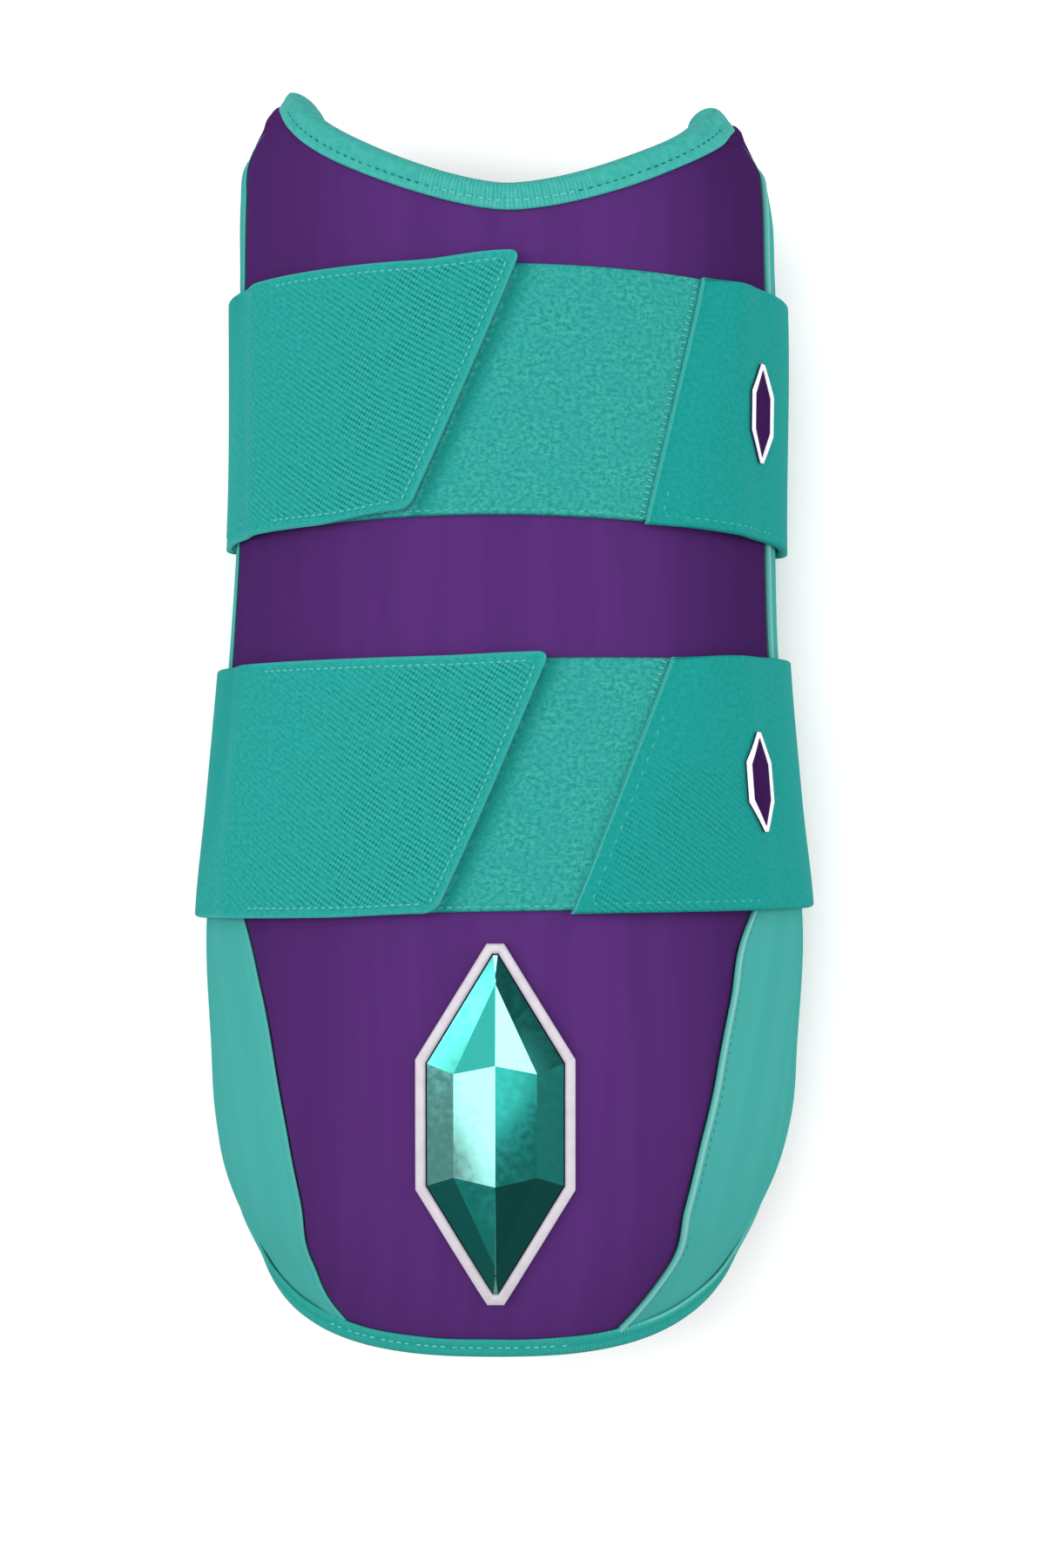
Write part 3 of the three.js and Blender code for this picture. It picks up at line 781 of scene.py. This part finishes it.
def sweep(name, points, cloth, tone, zone):
    """Closed body of profiles carried along a line, whose last two corners are the inner ones."""
    loops, sides = points.shape[:2]
    index = np.arange(loops * sides).reshape(loops, sides)
    faces = quads_of(closed(index)).tolist()
    half = sides // 2
    for ends, outward in ((index[0], -1), (index[-1], 1)):
        back, front = ends[-2], ends[-1]
        cap = [[ends[m], ends[m + 1], front] for m in range(half)]
        cap += [[ends[half], back, front]]
        cap += [[ends[m], ends[m + 1], back] for m in range(half, sides - INNER_CORNERS)]
        faces += [face[::outward] for face in cap]

    def flat(values):
        return None if values is None else np.broadcast_to(values, (loops, sides)).ravel()

    return mesh_object(name, points.reshape(-1, 3), faces, cloth.reshape(-1, 3), flat(tone), flat(zone))


def folded_tape(name, stations, profile, lip, reach, lifts, tone, zone=None, skew=0.0):
    """The profile carried along the stations, each with its own lip width, reach of the nose, added lifts and
    skew of the lips."""
    angles, ys, heading, at = stations
    shares, inward = profile[:, 0], profile[:, 1]
    nose = (inward < -0.5) & (shares == 0)
    inwards = shares * lip[:, None] + np.where(nose, inward * reach[:, None], inward)
    angles, ys = (np.broadcast_to(values[:, None], inwards.shape) for values in (angles, ys))
    heading = np.broadcast_to(heading[:, None], (*inwards.shape, 3))
    forward = np.broadcast_to(skew, at.shape)[:, None] * shares
    points = off_rim(angles, ys, heading, inwards, profile[:, 2] + lifts, forward)
    steps = np.hypot(np.diff(inward + shares * LIP), np.diff(profile[:, 2]))
    travel = np.concatenate(([0], np.cumsum(steps)))
    return sweep(name, points, cloth_field(at[:, None], travel), tone, zone)


# The scoop's tape runs from horn to horn with cut ends. Past them the cover is turned over the shoulders, and
# a second tape runs round the wings and the cup. Each tape end has its place in degrees, its dip, its skew,
# the nub on its edge and the hollow beside the nub.
TAPE_END = {-1: 72.6, 1: 72.2}
TAPE_DIP = {-1: 0.4, 1: 0.5}
TAPE_SKEW = {-1: 2.0, 1: 2.8}
NUB = {-1: -0.15, 1: 0.4}
HOLLOW = {-1: 0.3, 1: 0.45}
SCOOP_PITCH = 1.75

# Degrees between which the cover takes over from the tape, and how far its edge sinks under the tape's end,
# with the degrees where that stops
TURNED = (66, 77)
TURNED_DROP = {-1: (1.6, 75), 1: (3.0, 86)}
WING_TAPE_TOP = 0.955


def scoop_line(angle):
    """The scoop's curve, carried on past the horns, where it bends down a little."""
    rise, dip = by_side(SCOOP_RISE, angle), by_side(TAPE_DIP, angle)
    curve = rise * np.abs(np.sin(angle)) ** SCOOP_FLATNESS - HORN_LEAN * np.sin(angle)
    return LENGTH / 2 - SCOOP_DEPTH + curve - dip * ease(60, 73, np.degrees(np.abs(angle)))


def scoop_tape():
    angle = np.radians(np.linspace(TAPE_END[1], -TAPE_END[-1], 900))
    stations = stations_on(angle, scoop_line(angle), 0.55)
    angles, at = stations[0], stations[-1]
    turn = np.degrees(np.abs(angles))
    profile = fold_profile(0.95)
    shares, front = profile[:, 0], on_front(profile)
    end = np.minimum(at, at[-1] - at)
    nub = by_side(NUB, angles) * bump(end, 1.9, 1.15) - by_side(HOLLOW, angles) * bump(end, 5.3, 1.9)
    rounding = 1 - rounded(end, 1.6, 0.0)
    lip = LIP + 0.5 + 0.15 * ease(10, 40, turn) + 1.2 * ease(32, 56, np.degrees(angles)) - 0.7 * rounding
    reach = np.maximum(0.05, 1 - 0.12 * ease(25, 50, turn) + nub - 0.5 * rounding)
    dimple = (0.6 + 0.4 * np.sin(2 * math.pi * at / SCOOP_PITCH))[:, None]
    groove = bump(shares, 0.5, 0.09) * front
    waver = (0.05 * np.sin(at * 0.37) + 0.04 * np.sin(at * 0.91 + 2))[:, None]
    lifts = waver * front * shares - 0.26 * groove * dimple - 0.7 * rounding[:, None] * front
    # Painted highlight near the lip's edge, and painted shade in the stitched groove.
    tone = 0.22 * bump(shares, 0.9, 0.2) * front - 0.5 * groove * dimple
    zone = (1 - ease(12, 26, turn))[:, None] * front * (0.55 + 0.45 * groove)
    skew = TAPE_SKEW[-1] * (1 - ease(0, 7, at[-1] - at)) - TAPE_SKEW[1] * (1 - ease(0, 7, at))
    return folded_tape("scoop_tape", stations, profile, lip, reach, lifts, tone, zone, skew), (stations, lip)


def rim_below(start, samples=1500):
    """Angle and y down the rim's left side from a share of its length, round the cup and up the right."""
    down = start * (1 + np.cos(np.linspace(0, math.pi, samples))) / 2
    over = np.linspace(-1, 1, samples)[1:-1]
    sides = np.concatenate((-np.ones(samples), over, np.ones(samples)))
    alongs = np.concatenate((down, np.zeros(len(over)), down[::-1]))
    angle = sides * wing_angle(alongs)
    return angle, line_at(angle, alongs)


def wing_tape():
    stations = stations_on(*rim_below(WING_TAPE_TOP), 0.8)
    angles, ys, _, at = stations
    degrees = np.degrees(angles)
    profile = fold_profile(0.72)
    shares, front = profile[:, 0], on_front(profile)
    cup = ease(0, -20, ys) * (1 - ease(80, 95, np.abs(degrees)))
    left, right = (cup * ease(6 * way, -6 * way, degrees) for way in (1, -1))
    groove = bump(shares, 0.5, 0.1) * front
    waver = (0.05 * np.sin(at * 0.41))[:, None]
    lifts = waver * front * shares - 0.14 * groove * (0.4 + 0.6 * left)[:, None]
    # Painted highlight along the lip on the right, and painted shade on the cup, where the tape turns away from
    # the light, and in the stitched groove.
    painted_lip_highlight = bump(shares, 0.98, 0.12) * front * ease(30, 50, degrees)[:, None]
    tone = 0.75 * painted_lip_highlight - 0.55 * cup[:, None] * (1 - painted_lip_highlight) - 0.25 * groove
    zone = right[:, None] * front * 0.5
    lip = LIP + 0.15 * cup
    tape = folded_tape("edge_binding_tape", stations, profile, lip, np.ones_like(at), lifts, tone, zone)
    return tape, (stations, lip)


def turned_edge(name, side):
    """The front cover carried over the rim's edge on a shoulder."""
    even = np.linspace(0, 1, 300)
    across = side * mix(math.radians(60), wing_angle(1.0), even)
    down = 1 - (0.998 - WING_TAPE_TOP) * ease(0, 1, even[1:])
    drop, until = TURNED_DROP[side]
    sunk = drop * (1 - ease(64, until, np.degrees(np.abs(across))))
    angle = np.concatenate((across, side * wing_angle(down)))
    y = np.concatenate((line_at(across, 1.0) - sunk, line_at(side * wing_angle(down), down)))
    angles, ys, heading, at = stations_on(angle, y, 0.7)
    stations = tuple(values[::-side] for values in (angles, ys, -side * heading, at))
    profile = fold_profile(0.05, seat=-0.3, shelf=0.4)
    reach = ease(*TURNED, np.degrees(np.abs(stations[0])))
    lifts = -1.7 * (1 - profile[:, 0]) * on_front(profile) * (1 - reach[:, None])
    # The same painted side shade as the front cover's.
    return folded_tape(name, stations, profile, np.full(len(at), LIP), 0.1 + 0.9 * reach, lifts, -PAINTED_SIDE_SHADE[side])


# Stitches

# Length of every stitch but the few given their own, and a stitch's section: shares of its length and of its
# girth at each ring, and the count of its sides
STITCH = 1.1
STITCH_RINGS = np.array((-1, -0.8, -0.3, 0.3, 0.8, 1))
STITCH_GIRTH = (0.15, 0.7, 1, 1, 0.7, 0.15)
SIDES = 6


def stitches(name, centres, headings, normals, length=STITCH, width=0.42, height=0.3):
    """Rows of short thread dashes, each a closed grain, joined into one mesh."""
    turns = np.arange(SIDES) * 2 * math.pi / SIDES
    grain = np.array([
        (x, girth * width / 2 * math.cos(t), girth * height / 2 * math.sin(t))
        for x, girth in zip(STITCH_RINGS * length / 2, STITCH_GIRTH) for t in turns])
    index = np.arange(len(grain)).reshape(-1, SIDES)
    cap = np.array(((0, 1, 2, 3), (0, 3, 4, 5)))
    faces = np.concatenate((quads_of(closed(index)), cap[:, ::-1], cap + index[-1, 0]))
    along = unit(headings - normals * (headings * normals).sum(-1, keepdims=True))
    beside = np.cross(normals, along)
    points = centres[:, None] + sum(
        grain[None, :, k:k + 1] * axis[:, None] for k, axis in enumerate((along, beside, normals)))
    number = np.arange(len(centres))
    every = (faces[None] + (number * len(grain))[:, None, None]).reshape(-1, 4)
    cloth = cloth_field(number[:, None] * 1.7 + grain[None, :, 0], grain[None, :, 1])
    return mesh_object(name, points.reshape(-1, 3), every, cloth)


def line_of(place, start, end, pitch, samples=1200):
    """Evenly spaced places on a line on a surface: place(t) gives the angle, y and lift."""
    t = np.linspace(start, end, samples)
    travelled = lengths_along(lifted(*place(t)), 0)
    at = (np.arange(int(travelled[-1] / pitch)) + 0.5) * pitch
    where = np.interp(at, travelled, t)
    angle, y, lift = place(where)
    step = (end - start) / samples
    headings = unit(lifted(*place(where + step)) - lifted(*place(where - step)))
    return lifted(angle, y, lift), headings, outwards(angle, y)


def joined(*lines):
    return [np.concatenate(part) for part in zip(*lines)]


def seam_stitches(side):
    def place(v):
        edge = side_edge(side, v)
        angle = edge + side * SEAM_STITCH[side] / radius_at(edge, line_at(edge, v))
        return angle, line_at(angle, v), 0.14

    return line_of(place, 0.035, 0.345, 1.75)


def tape_stitches(data, low, high, pitch, lift):
    """Places of the stitches that hold a tape down, between two angles in degrees."""
    (angles, ys, heading, at), lip = data
    nearest = np.searchsorted(at, np.arange(pitch, at[-1] - pitch, pitch))
    turn = np.degrees(angles[nearest])
    nearest = nearest[(turn > low) & (turn < high) & (np.abs(ys[nearest]) > LENGTH / 4)]
    a, y, h = angles[nearest], ys[nearest], heading[nearest]
    return off_rim(a, y, h, 0.5 * lip[nearest], np.full(len(a), lift)), h, outwards(a, y)


# Straps

# Radius of a tab's corners, how far a strap is pressed down at its fold, outside and inside, the length over
# which it rises from there, how much lower its upper corner lies, a tab's pressed border, the distance of the
# stitches from the fold, and an angle on the front that both tabs cover
CORNER = 2.2
FOLD_DROP = (2.0, 0.45)
FOLD_RISE = 9.5
FOLD_TAPER = 0.6
BORDER = 1.9
FOLD_STITCH = 3.0
TAB_SPOT = 2 * math.pi - 0.45


def strap_angles(strap, v):
    """Angles at which the strap starts at its fold and ends at its tab, whose corners are rounded."""
    fold = angle_across(mix(*strap["fold"], v))
    tab = 2 * math.pi + angle_across(mix(*strap["tab"], v))
    retreat = CORNER * (1 - rounded(np.minimum(v, 1 - v) * STRAP_WIDTH, CORNER, 0.0))
    return fold, tab - retreat / HALF_WIDTH


def strap_top(angle):
    return strap_lift(angle) + strap_thickness(angle)


def strap_band(name, strap):
    """The strap from its fold round the back, flat on the surface that it lies on, to its tab."""
    around, across = share_stops(GIRTH["strap"], 1.1, reach=5), stops(STRAP_WIDTH, 1.0, reach=3.2)
    u, w = np.meshgrid(around, across)
    v = w / STRAP_WIDTH
    fold, tab = strap_angles(strap, v)
    angle = mix(fold, tab, u)
    rise = strap["rise"] * ease(TAB_BEND, 1, u) - FOLD_TAPER * ease(0.5, 1, v) * (1 - ease(0, 0.05, u))
    line = strap_line(strap, angle, w - STRAP_WIDTH / 2 + rise)
    outer, inner = lifted(angle, line, strap_top(angle)), lifted(angle, line, strap_lift(angle))
    outer[..., 2] = np.maximum(outer[..., 2], 0)
    inner[..., 2] = np.maximum(inner[..., 2], STRAP)
    middle, half = (outer + inner) / 2, (outer - inner) / 2
    along = lengths_along(middle, 1)
    to_tab = along[:, -1:] - along
    side = np.minimum(w, STRAP_WIDTH - w)
    on_tab = 1 - ease(58, 70, to_tab)
    border = np.maximum(1 - ease(BORDER - 0.5, BORDER + 0.5, side), 1 - ease(BORDER, BORDER + 0.8, to_tab))
    border = border * on_tab
    full = (rounded(side, 0.7) * rounded(np.minimum(along * 1.6, to_tab), 0.7))[..., None]
    folded = 1 - ease(0, FOLD_RISE, along)
    direction = unit(half)
    over = middle + half * full - direction * (FOLD_DROP[0] * folded + 0.3 * border)[..., None]
    under = middle - half * full - direction * (FOLD_DROP[1] * folded)[..., None]
    over[..., 2] = np.maximum(over[..., 2], 0)
    under[..., 2] = np.maximum(under[..., 2], np.minimum(STRAP, over[..., 2] + 0.05))

    beside_fold = ease(3.0, 3.8, along) * (1 - ease(18, 42, along)) * (1 - ease(20, 36, w))
    zone = on_tab * (1 - 0.85 * ease(12, 58, to_tab)) * (1 - border) + strap["weave"] * beside_fold
    # Painted highlight along the tab's edges and the line where its hook backing ends, and along the fold's
    # edge, lightening the fold's front face where it lies in shade. Away from the tab the strap is darker.
    painted_edge_highlight = 0.6 * bump(np.minimum(side, to_tab), 0.2, 0.35) + 0.2 * bump(to_tab, 62, 1)
    painted_fold_highlight = 1 - ease(0.45, 0.95, along)
    tone = 0.1 * border + on_tab * painted_edge_highlight + painted_fold_highlight - 0.45 * (1 - on_tab) * ease(0.45, 1.2, along)

    def at_tab(grid):
        return np.array([np.interp(TAB_SPOT, *row) for row in zip(angle, grid)])[:, None]

    on_front = along - at_tab(along) + at_tab(middle[..., 0])
    from_fold = along + HALF_WIDTH * (fold - fold[:1])
    cloth = cloth_field(mix(from_fold, on_front, ease(0.3, 0.7, u)), w)
    return wall(name, over, under, cloth, tone, zone)


def strap_stitches(strap):
    """Stitches round the tab's slanted end and along its edges, and those beside the fold."""
    def surface(angle, v, lift):
        fold, tab = strap_angles(strap, v)
        rise = strap["rise"] * ease(TAB_BEND, 1, (angle - fold) / (tab - fold))
        line = strap_line(strap, angle, STRAP_WIDTH * (v - 0.5) + rise)
        return angle, line, strap_top(angle) + lift

    def inset(v, distance, end):
        edge = strap_angles(strap, v)[end]
        way = distance * (1 - 2 * end)
        return edge + way / radius_at(edge, strap_line(strap, edge, STRAP_WIDTH * (v - 0.5)))

    def sunk(distance):
        return -0.02 - FOLD_DROP[0] * (1 - ease(0, FOLD_RISE, distance))

    low, high = BORDER / STRAP_WIDTH, 1 - BORDER / STRAP_WIDTH
    left = 2 * math.pi - math.radians(LOOP_LEFT)
    tab_rows = [line_of(lambda v: surface(inset(v, BORDER, 1), v, -0.1), low, high, 1.6)]
    for v in (low, high):
        end = inset(v, BORDER + 0.9, 1)
        tab_rows.append(line_of(lambda a, v=v: surface(a, v, -0.1), left, end, 1.6))

    start = inset(low, FOLD_STITCH, 0)
    radius = radius_at(start, strap_line(strap, start, 0.0))
    beside = line_of(
        lambda v: surface(inset(v, FOLD_STITCH, 0), v, sunk(FOLD_STITCH)), 0.04, strap["dots"], 2.9)
    below = line_of(
        lambda a: surface(a, low, sunk(FOLD_STITCH + (a - start) * radius)), start, start + 0.62, 2.1)
    return joined(*tab_rows), joined(beside, below)


def fold_ticks(strap):
    """Short threads across the strap's fold, down onto the loop patch."""
    def place(v):
        edge = strap_angles(strap, v)[0]
        line = strap_line(strap, edge, STRAP_WIDTH * (v - 0.5))
        return edge - 0.85 / radius_at(edge, line), line, LOOP_TOP + 0.12

    centres, headings, normals = line_of(place, strap["tick"], 0.99, 1.3)
    return centres, np.cross(headings, normals), normals


# Width of the painted shadow that a tab casts on the pile beside it
PAINTED_TAB_SHADOW_WIDTH = 6.5


def loop_patch(name, strap):
    u, w = np.meshgrid(share_stops(GIRTH["patch"], 1.0), stops(LOOP_WIDTH, 1.0))
    angle = np.radians(mix(-LOOP_LEFT, LOOP_RIGHT, u))
    line = strap_line(strap, angle, w - LOOP_WIDTH / 2)
    along = lengths_along(skin(angle, line), 1)
    side = np.minimum(w, LOOP_WIDTH - w)
    full = rounded(side, 0.6) * rounded(np.minimum(along, along[:, -1:] - along), 0.6)
    outer = lifted(angle, line, GAP + LOOP * full - 0.2 * bump(side, 1.2, 0.4))
    inner = lifted(angle, line, np.full_like(angle, GAP))
    tab = strap_angles(strap, 0.5 + (w - LOOP_WIDTH / 2) / STRAP_WIDTH)[1] - 2 * math.pi
    past = HALF_WIDTH * (angle - tab)
    # Painted shadow cast by the tab on the pile beside it.
    tone = -0.75 * (past > 0) * (1 - ease(0, PAINTED_TAB_SHADOW_WIDTH, past))
    return wall(name, outer, inner, cloth_field(along, w), tone)


def patch_stitches(strap):
    """The row along a patch's lower edge."""
    def place(angle):
        return angle, strap_line(strap, angle, 1.0 - LOOP_WIDTH / 2), LOOP_TOP - 0.12

    return line_of(place, -math.radians(LOOP_LEFT - 1), math.radians(LOOP_RIGHT - 1), 1.9)


# Badge and marks

BADGE_TOP = (STRAPS["lower"]["middle"] - 0.5) * LENGTH - STRAP_WIDTH / 2 - BADGE_ROOM[0]
BADGE_FOOT = BADGE_ROOM[1] - LENGTH / 2
BADGE_Y = (BADGE_TOP + BADGE_FOOT) / 2
BADGE = dict(width=BADGE_WIDTH, height=BADGE_TOP - BADGE_FOOT, shoulder=BADGE_SHOULDER)

# Section of the badge's rim: distance from its outer edge, and share of its rise
RIM_SECTION = (
    (0.0, 0.0), (0.0, 0.62), (0.12, 0.84), (0.38, 0.97), (0.75, 1.0), (1.25, 1.0), (1.62, 0.95), (1.88, 0.8),
    (2.0, 0.6), (2.0, 0.0))
RIM_SPOTS = 14

# Facets: heights over the skin, the table's inset past the outline's, the painted reflections round the bevel,
# and those of the eight facets from the table up to the ridge. The skirt's tone, on a plate's sides and
# underside, is a painted reflection on the badge and the print's face on the marks.
FACET_HEIGHTS = (1.0, 2.2, 3.0)
TABLE_INSET = 5.2
PAINTED_BEVEL_REFLECTIONS = (0.15, 0.55, 0.1, 0.85, 0.2, 0.75, 0.6, 0.95)
PAINTED_TABLE_REFLECTIONS = (0.9, 0.35, 0.05, 0.7, 0.5, 0.85, 0.25, 0.6)
SKIRT_TONE = 0.3
CORNERS = 8

# A mark's rings: distance from its outline, and height over the strap
MARK_RINGS = ((0.0, 0.3), (0.16, 0.5), (1.15, 0.5), (1.3, 0.34))


def hexagon(width, height, shoulder, tip, inset=0.0, cut=1.1):
    """Corners of an elongated hexagon with blunt tips, round from its upper right one."""
    x, y = width / 2 - inset, height / 2 - inset
    t = (tip - cut * inset) / 2
    s = shoulder * y
    return np.array([(t, y), (x, s), (x, -s), (t, -y), (-t, -y), (-x, -s), (-x, s), (-t, y)])


def badge_point(x, y, lift):
    x, y = x + BADGE_X, y + BADGE_Y
    sway = HALF_WIDTH * through(SECTIONS, SWAYS, share_at(y))
    return lifted(angle_across((x - sway) / half_width_at(y)), y, lift)


def badge_rim():
    share = (np.arange(RIM_SPOTS) / RIM_SPOTS)[None, :, None]
    rings = []
    for inset, rise in RIM_SECTION:
        corners = hexagon(**BADGE, tip=BADGE_TIP, inset=inset)
        ring = mix(corners[:, None], np.roll(corners, -1, 0)[:, None], share).reshape(-1, 2)
        rings.append(badge_point(ring[:, 0], ring[:, 1], GAP + rise * BADGE_RISE))
    points = np.stack(rings, 1)
    index = np.arange(points[..., 0].size).reshape(points.shape[:2])
    faces = quads_of(closed(index, round_rows=True))
    return mesh_object("badge_rim_bead", points.reshape(-1, 3), faces, points * (1, 1, 0))


def facet_grid(polygons, levels):
    """Points and faces of the polygons, divided into small quads, and the number of each face's polygon.
    Corners that polygons share become one point."""
    share = np.arange(levels + 1) / levels
    u, v = (part[..., None] for part in np.meshgrid(share, share))
    index = np.arange((levels + 1) ** 2).reshape(levels + 1, levels + 1)
    points, faces, owners = [], [], []
    for k, (corners, _) in enumerate(polygons):
        a, b, c, d = np.array(corners if len(corners) == 4 else [*corners, corners[-1]], float)
        faces.extend((quads_of(index) + k * index.size).tolist())
        owners.extend([k] * levels**2)
        points.append(((1 - v) * ((1 - u) * a + u * b) + v * ((1 - u) * d + u * c)).reshape(-1, 3))
    points = np.concatenate(points)
    places = np.round(points[:, :2] * 1e4).astype(np.int64)
    _, first, number = np.unique(places, axis=0, return_index=True, return_inverse=True)
    merged = number.ravel()[np.array(faces)].tolist()
    rings = [[p for i, p in enumerate(face) if p != face[i - 1]] for face in merged]
    kept = [k for k, ring in enumerate(rings) if len(ring) > 2]
    return points[first], [rings[k] for k in kept], [owners[k] for k in kept]


def facet_plate(name, polygons, place, foot, levels):
    """Closed plate whose upper side is a set of crisp facets, with a plain foot. Each polygon is its corners
    (x, y, height) and a tone."""
    flat, made, owners = facet_grid(polygons, levels)
    count = len(flat)
    borders = dict.fromkeys(edge for ring in made for edge in zip(ring, ring[1:] + ring[:1]))
    rims = [(p, q) for p, q in borders if (q, p) not in borders]
    faces = made + [[p + count for p in ring[::-1]] for ring in made]
    faces += [[q, p, p + count, q + count] for p, q in rims]
    owners += [-1] * len(made) + [-2] * len(rims)
    x, y, height = flat.T
    points = np.concatenate((place(x, y, height), place(x, y, foot)))
    tones = [polygons[k][1] if k >= 0 else SKIRT_TONE for k in owners]
    plate = mesh_object(name, points, faces, np.concatenate((flat, flat)) * (1, 1, 0), tones)
    owned = {}
    for polygon, k in zip(plate.data.polygons, owners):
        for edge in polygon.edge_keys:
            owned.setdefault(edge, set()).add(k)
    for edge in plate.data.edges:
        edge.use_edge_sharp = len(owned[tuple(sorted(edge.vertices))]) > 1
    return plate


def ring_facets(outer, inner, tones):
    """A facet from each side of the outer ring to the same side of the inner one."""
    for k, tone in enumerate(tones):
        m = (k + 1) % CORNERS
        yield [outer[k], outer[m], inner[m], inner[k]], tone


def badge_facets():
    gap = BADGE_RIM + SEAM_GAP
    edge, crown, crest = (GAP + height for height in FACET_HEIGHTS)
    outer = [(*p, edge) for p in hexagon(**BADGE, tip=BADGE_TIP, inset=gap)]
    inner = [(*p, crown) for p in hexagon(**BADGE, tip=BADGE_TIP + 1.6, inset=gap + TABLE_INSET, cut=0.7)]
    high = inner[0][1] * 0.42
    upper, lower = (0.0, high, crest), (0.0, -high, crest)
    ends = ((upper,), (lower, upper), (lower,), (lower,), (lower,), (upper, lower), (upper,), (upper,))
    polygons = list(ring_facets(outer, inner, PAINTED_BEVEL_REFLECTIONS))
    for k, tone in enumerate(PAINTED_TABLE_REFLECTIONS):
        polygons.append(([inner[k], inner[(k + 1) % CORNERS], *ends[k]], tone))
    return facet_plate("badge_facets_mirror", polygons, badge_point, GAP, 8)


def strap_mark(name, strap):
    centre = strap["mark"] * QUARTER
    radius = radius_at(centre, strap_line(strap, centre, 0.0))
    rings = []
    for inset, height in MARK_RINGS:
        rings.append([(*p, SEAM_GAP + height) for p in hexagon(**MARK, inset=inset, cut=0.6)])
    polygons = [facet for pair in zip(rings, rings[1:]) for facet in ring_facets(*pair, [1.0] * CORNERS)]
    for k in range(CORNERS // 2 - 1):
        polygons.append(([rings[-1][m] for m in (k, k + 1, CORNERS - 2 - k, CORNERS - 1 - k)], 0.0))

    def place(x, y, lift):
        angle = centre + x / radius
        return lifted(angle, strap_line(strap, angle, y), strap_top(angle) + lift)

    return facet_plate(name, polygons, place, SEAM_GAP, 5)


# The object

foam = dress(pad_body(), "pad_body", FOAM)

front = dress(front_panel(), "front_panel", PLUM)

for side, node in ((-1, "side_panel_left"), (1, "side_panel_right")):
    panel = dress(side_panel(side, node + "_cloth"), node, TEAL)
    sewing = dress(stitches(node + "_stitches", *seam_stitches(side)), None, DARK_THREAD)
    edge = dress(turned_edge(node.replace("panel", "turned_edge"), side), "edge_binding", PLUM)

scoop, scoop_data = scoop_tape()
dress(scoop, "edge_binding", TAPE)
outer_rows = [tape_stitches(scoop_data, low, high, SCOOP_PITCH, 1.1) for low, high in ((-57, -14), (14, 58))]
dark_row = stitches("scoop_outer_stitches", *joined(*outer_rows))
dress(dark_row, None, DARK_THREAD)
light_row = stitches("scoop_middle_stitches", *tape_stitches(scoop_data, -14, 14, SCOOP_PITCH, 1.12))
dress(light_row, None, THREAD)

tape, wing_data = wing_tape()
dress(tape, "edge_binding", TAPE)
lower_row = stitches("binding_stitches", *tape_stitches(wing_data, -50, 20, 1.8, 1.12))
dress(lower_row, None, THREAD)

for key, strap in STRAPS.items():
    patch = dress(loop_patch(key + "_loop_patch_pile", strap), key + "_loop_patch", PILE)
    row = stitches(key + "_loop_patch_stitches", *patch_stitches(strap), length=1.2)
    dress(row, None, SOFT_THREAD)
    band = dress(strap_band(key + "_strap_webbing", strap), key + "_strap", WEB)
    tab_sewing, fixed_sewing = strap_stitches(strap)
    for label, places, material, size in (
            ("tab_stitches", tab_sewing, SOFT_THREAD, dict(width=0.6, height=0.36)),
            ("fold_stitches", fixed_sewing, SOFT_THREAD, dict(width=0.3, height=0.24)),
            ("fold_ticks", fold_ticks(strap), THREAD, dict(length=1.3, width=0.32, height=0.26))):
        sewing = stitches(f"{key}_strap_{label}", *places, **size)
        dress(sewing, None, material)
    mark = dress(strap_mark(key + "_strap_mark_print", strap), key + "_strap_mark", PRINT)

dress(badge_rim(), "badge_rim", SILVER)
dress(badge_facets(), "badge_facets", CHROME)

# Stage, light and camera

FLOOR_HALF = 3.0
FLOOR_DEPTH = 0.0003


def floor():
    mesh = bpy.data.meshes.new("floor")
    square = ((-1, -1), (1, -1), (1, 1), (-1, 1))
    mesh.from_pydata([(FLOOR_HALF * x, FLOOR_HALF * y, -FLOOR_DEPTH) for x, y in square], [], [(0, 1, 2, 3)])
    mesh.update()
    finish = Finish("floor_paper", 0.9, specular=0.1)
    finish.set("Base Color", (0.93, 0.93, 0.93, 1))
    mesh.materials.append(finish.material)
    linked("floor", mesh)


def lamp(name, place, size, power, aim=(0, 0, 0.03)):
    data = bpy.data.lights.new(name, "AREA")
    data.shape = "RECTANGLE"
    data.size, data.size_y = size
    data.energy = power
    made = linked(name, data)
    made.location = place
    made.rotation_mode = "QUATERNION"
    made.rotation_quaternion = (Vector(aim) - Vector(place)).to_track_quat("-Z", "Y")


floor()
lamp("softbox_over", (-0.1, 0.12, 1.4), (1.3, 1.3), 18)
lamp("softbox_left", (-1.0, 0.1, 0.9), (0.45, 0.7), 7)
lamp("softbox_right", (1.2, 0.1, 0.5), (0.6, 1.1), 8)

world = bpy.data.worlds.new("studio")
world.use_nodes = True
sky = world.node_tree.nodes["Background"]
sky.inputs[0].default_value = (1, 1, 1, 1)
sky.inputs[1].default_value = 0.5
bpy.context.scene.world = world
bpy.context.scene.view_settings.view_transform = "Standard"

SENSOR = 36
FOCAL_PIXELS = 4106
IMAGE_HEIGHT = 1800

eye = bpy.data.cameras.new("camera")
eye.sensor_width = SENSOR
eye.lens = FOCAL_PIXELS / IMAGE_HEIGHT * SENSOR
eye.clip_start = 0.05
camera = linked("camera", eye)
camera.location = in_metres((3.8, -11.85, 770.0))
bpy.context.scene.camera = camera
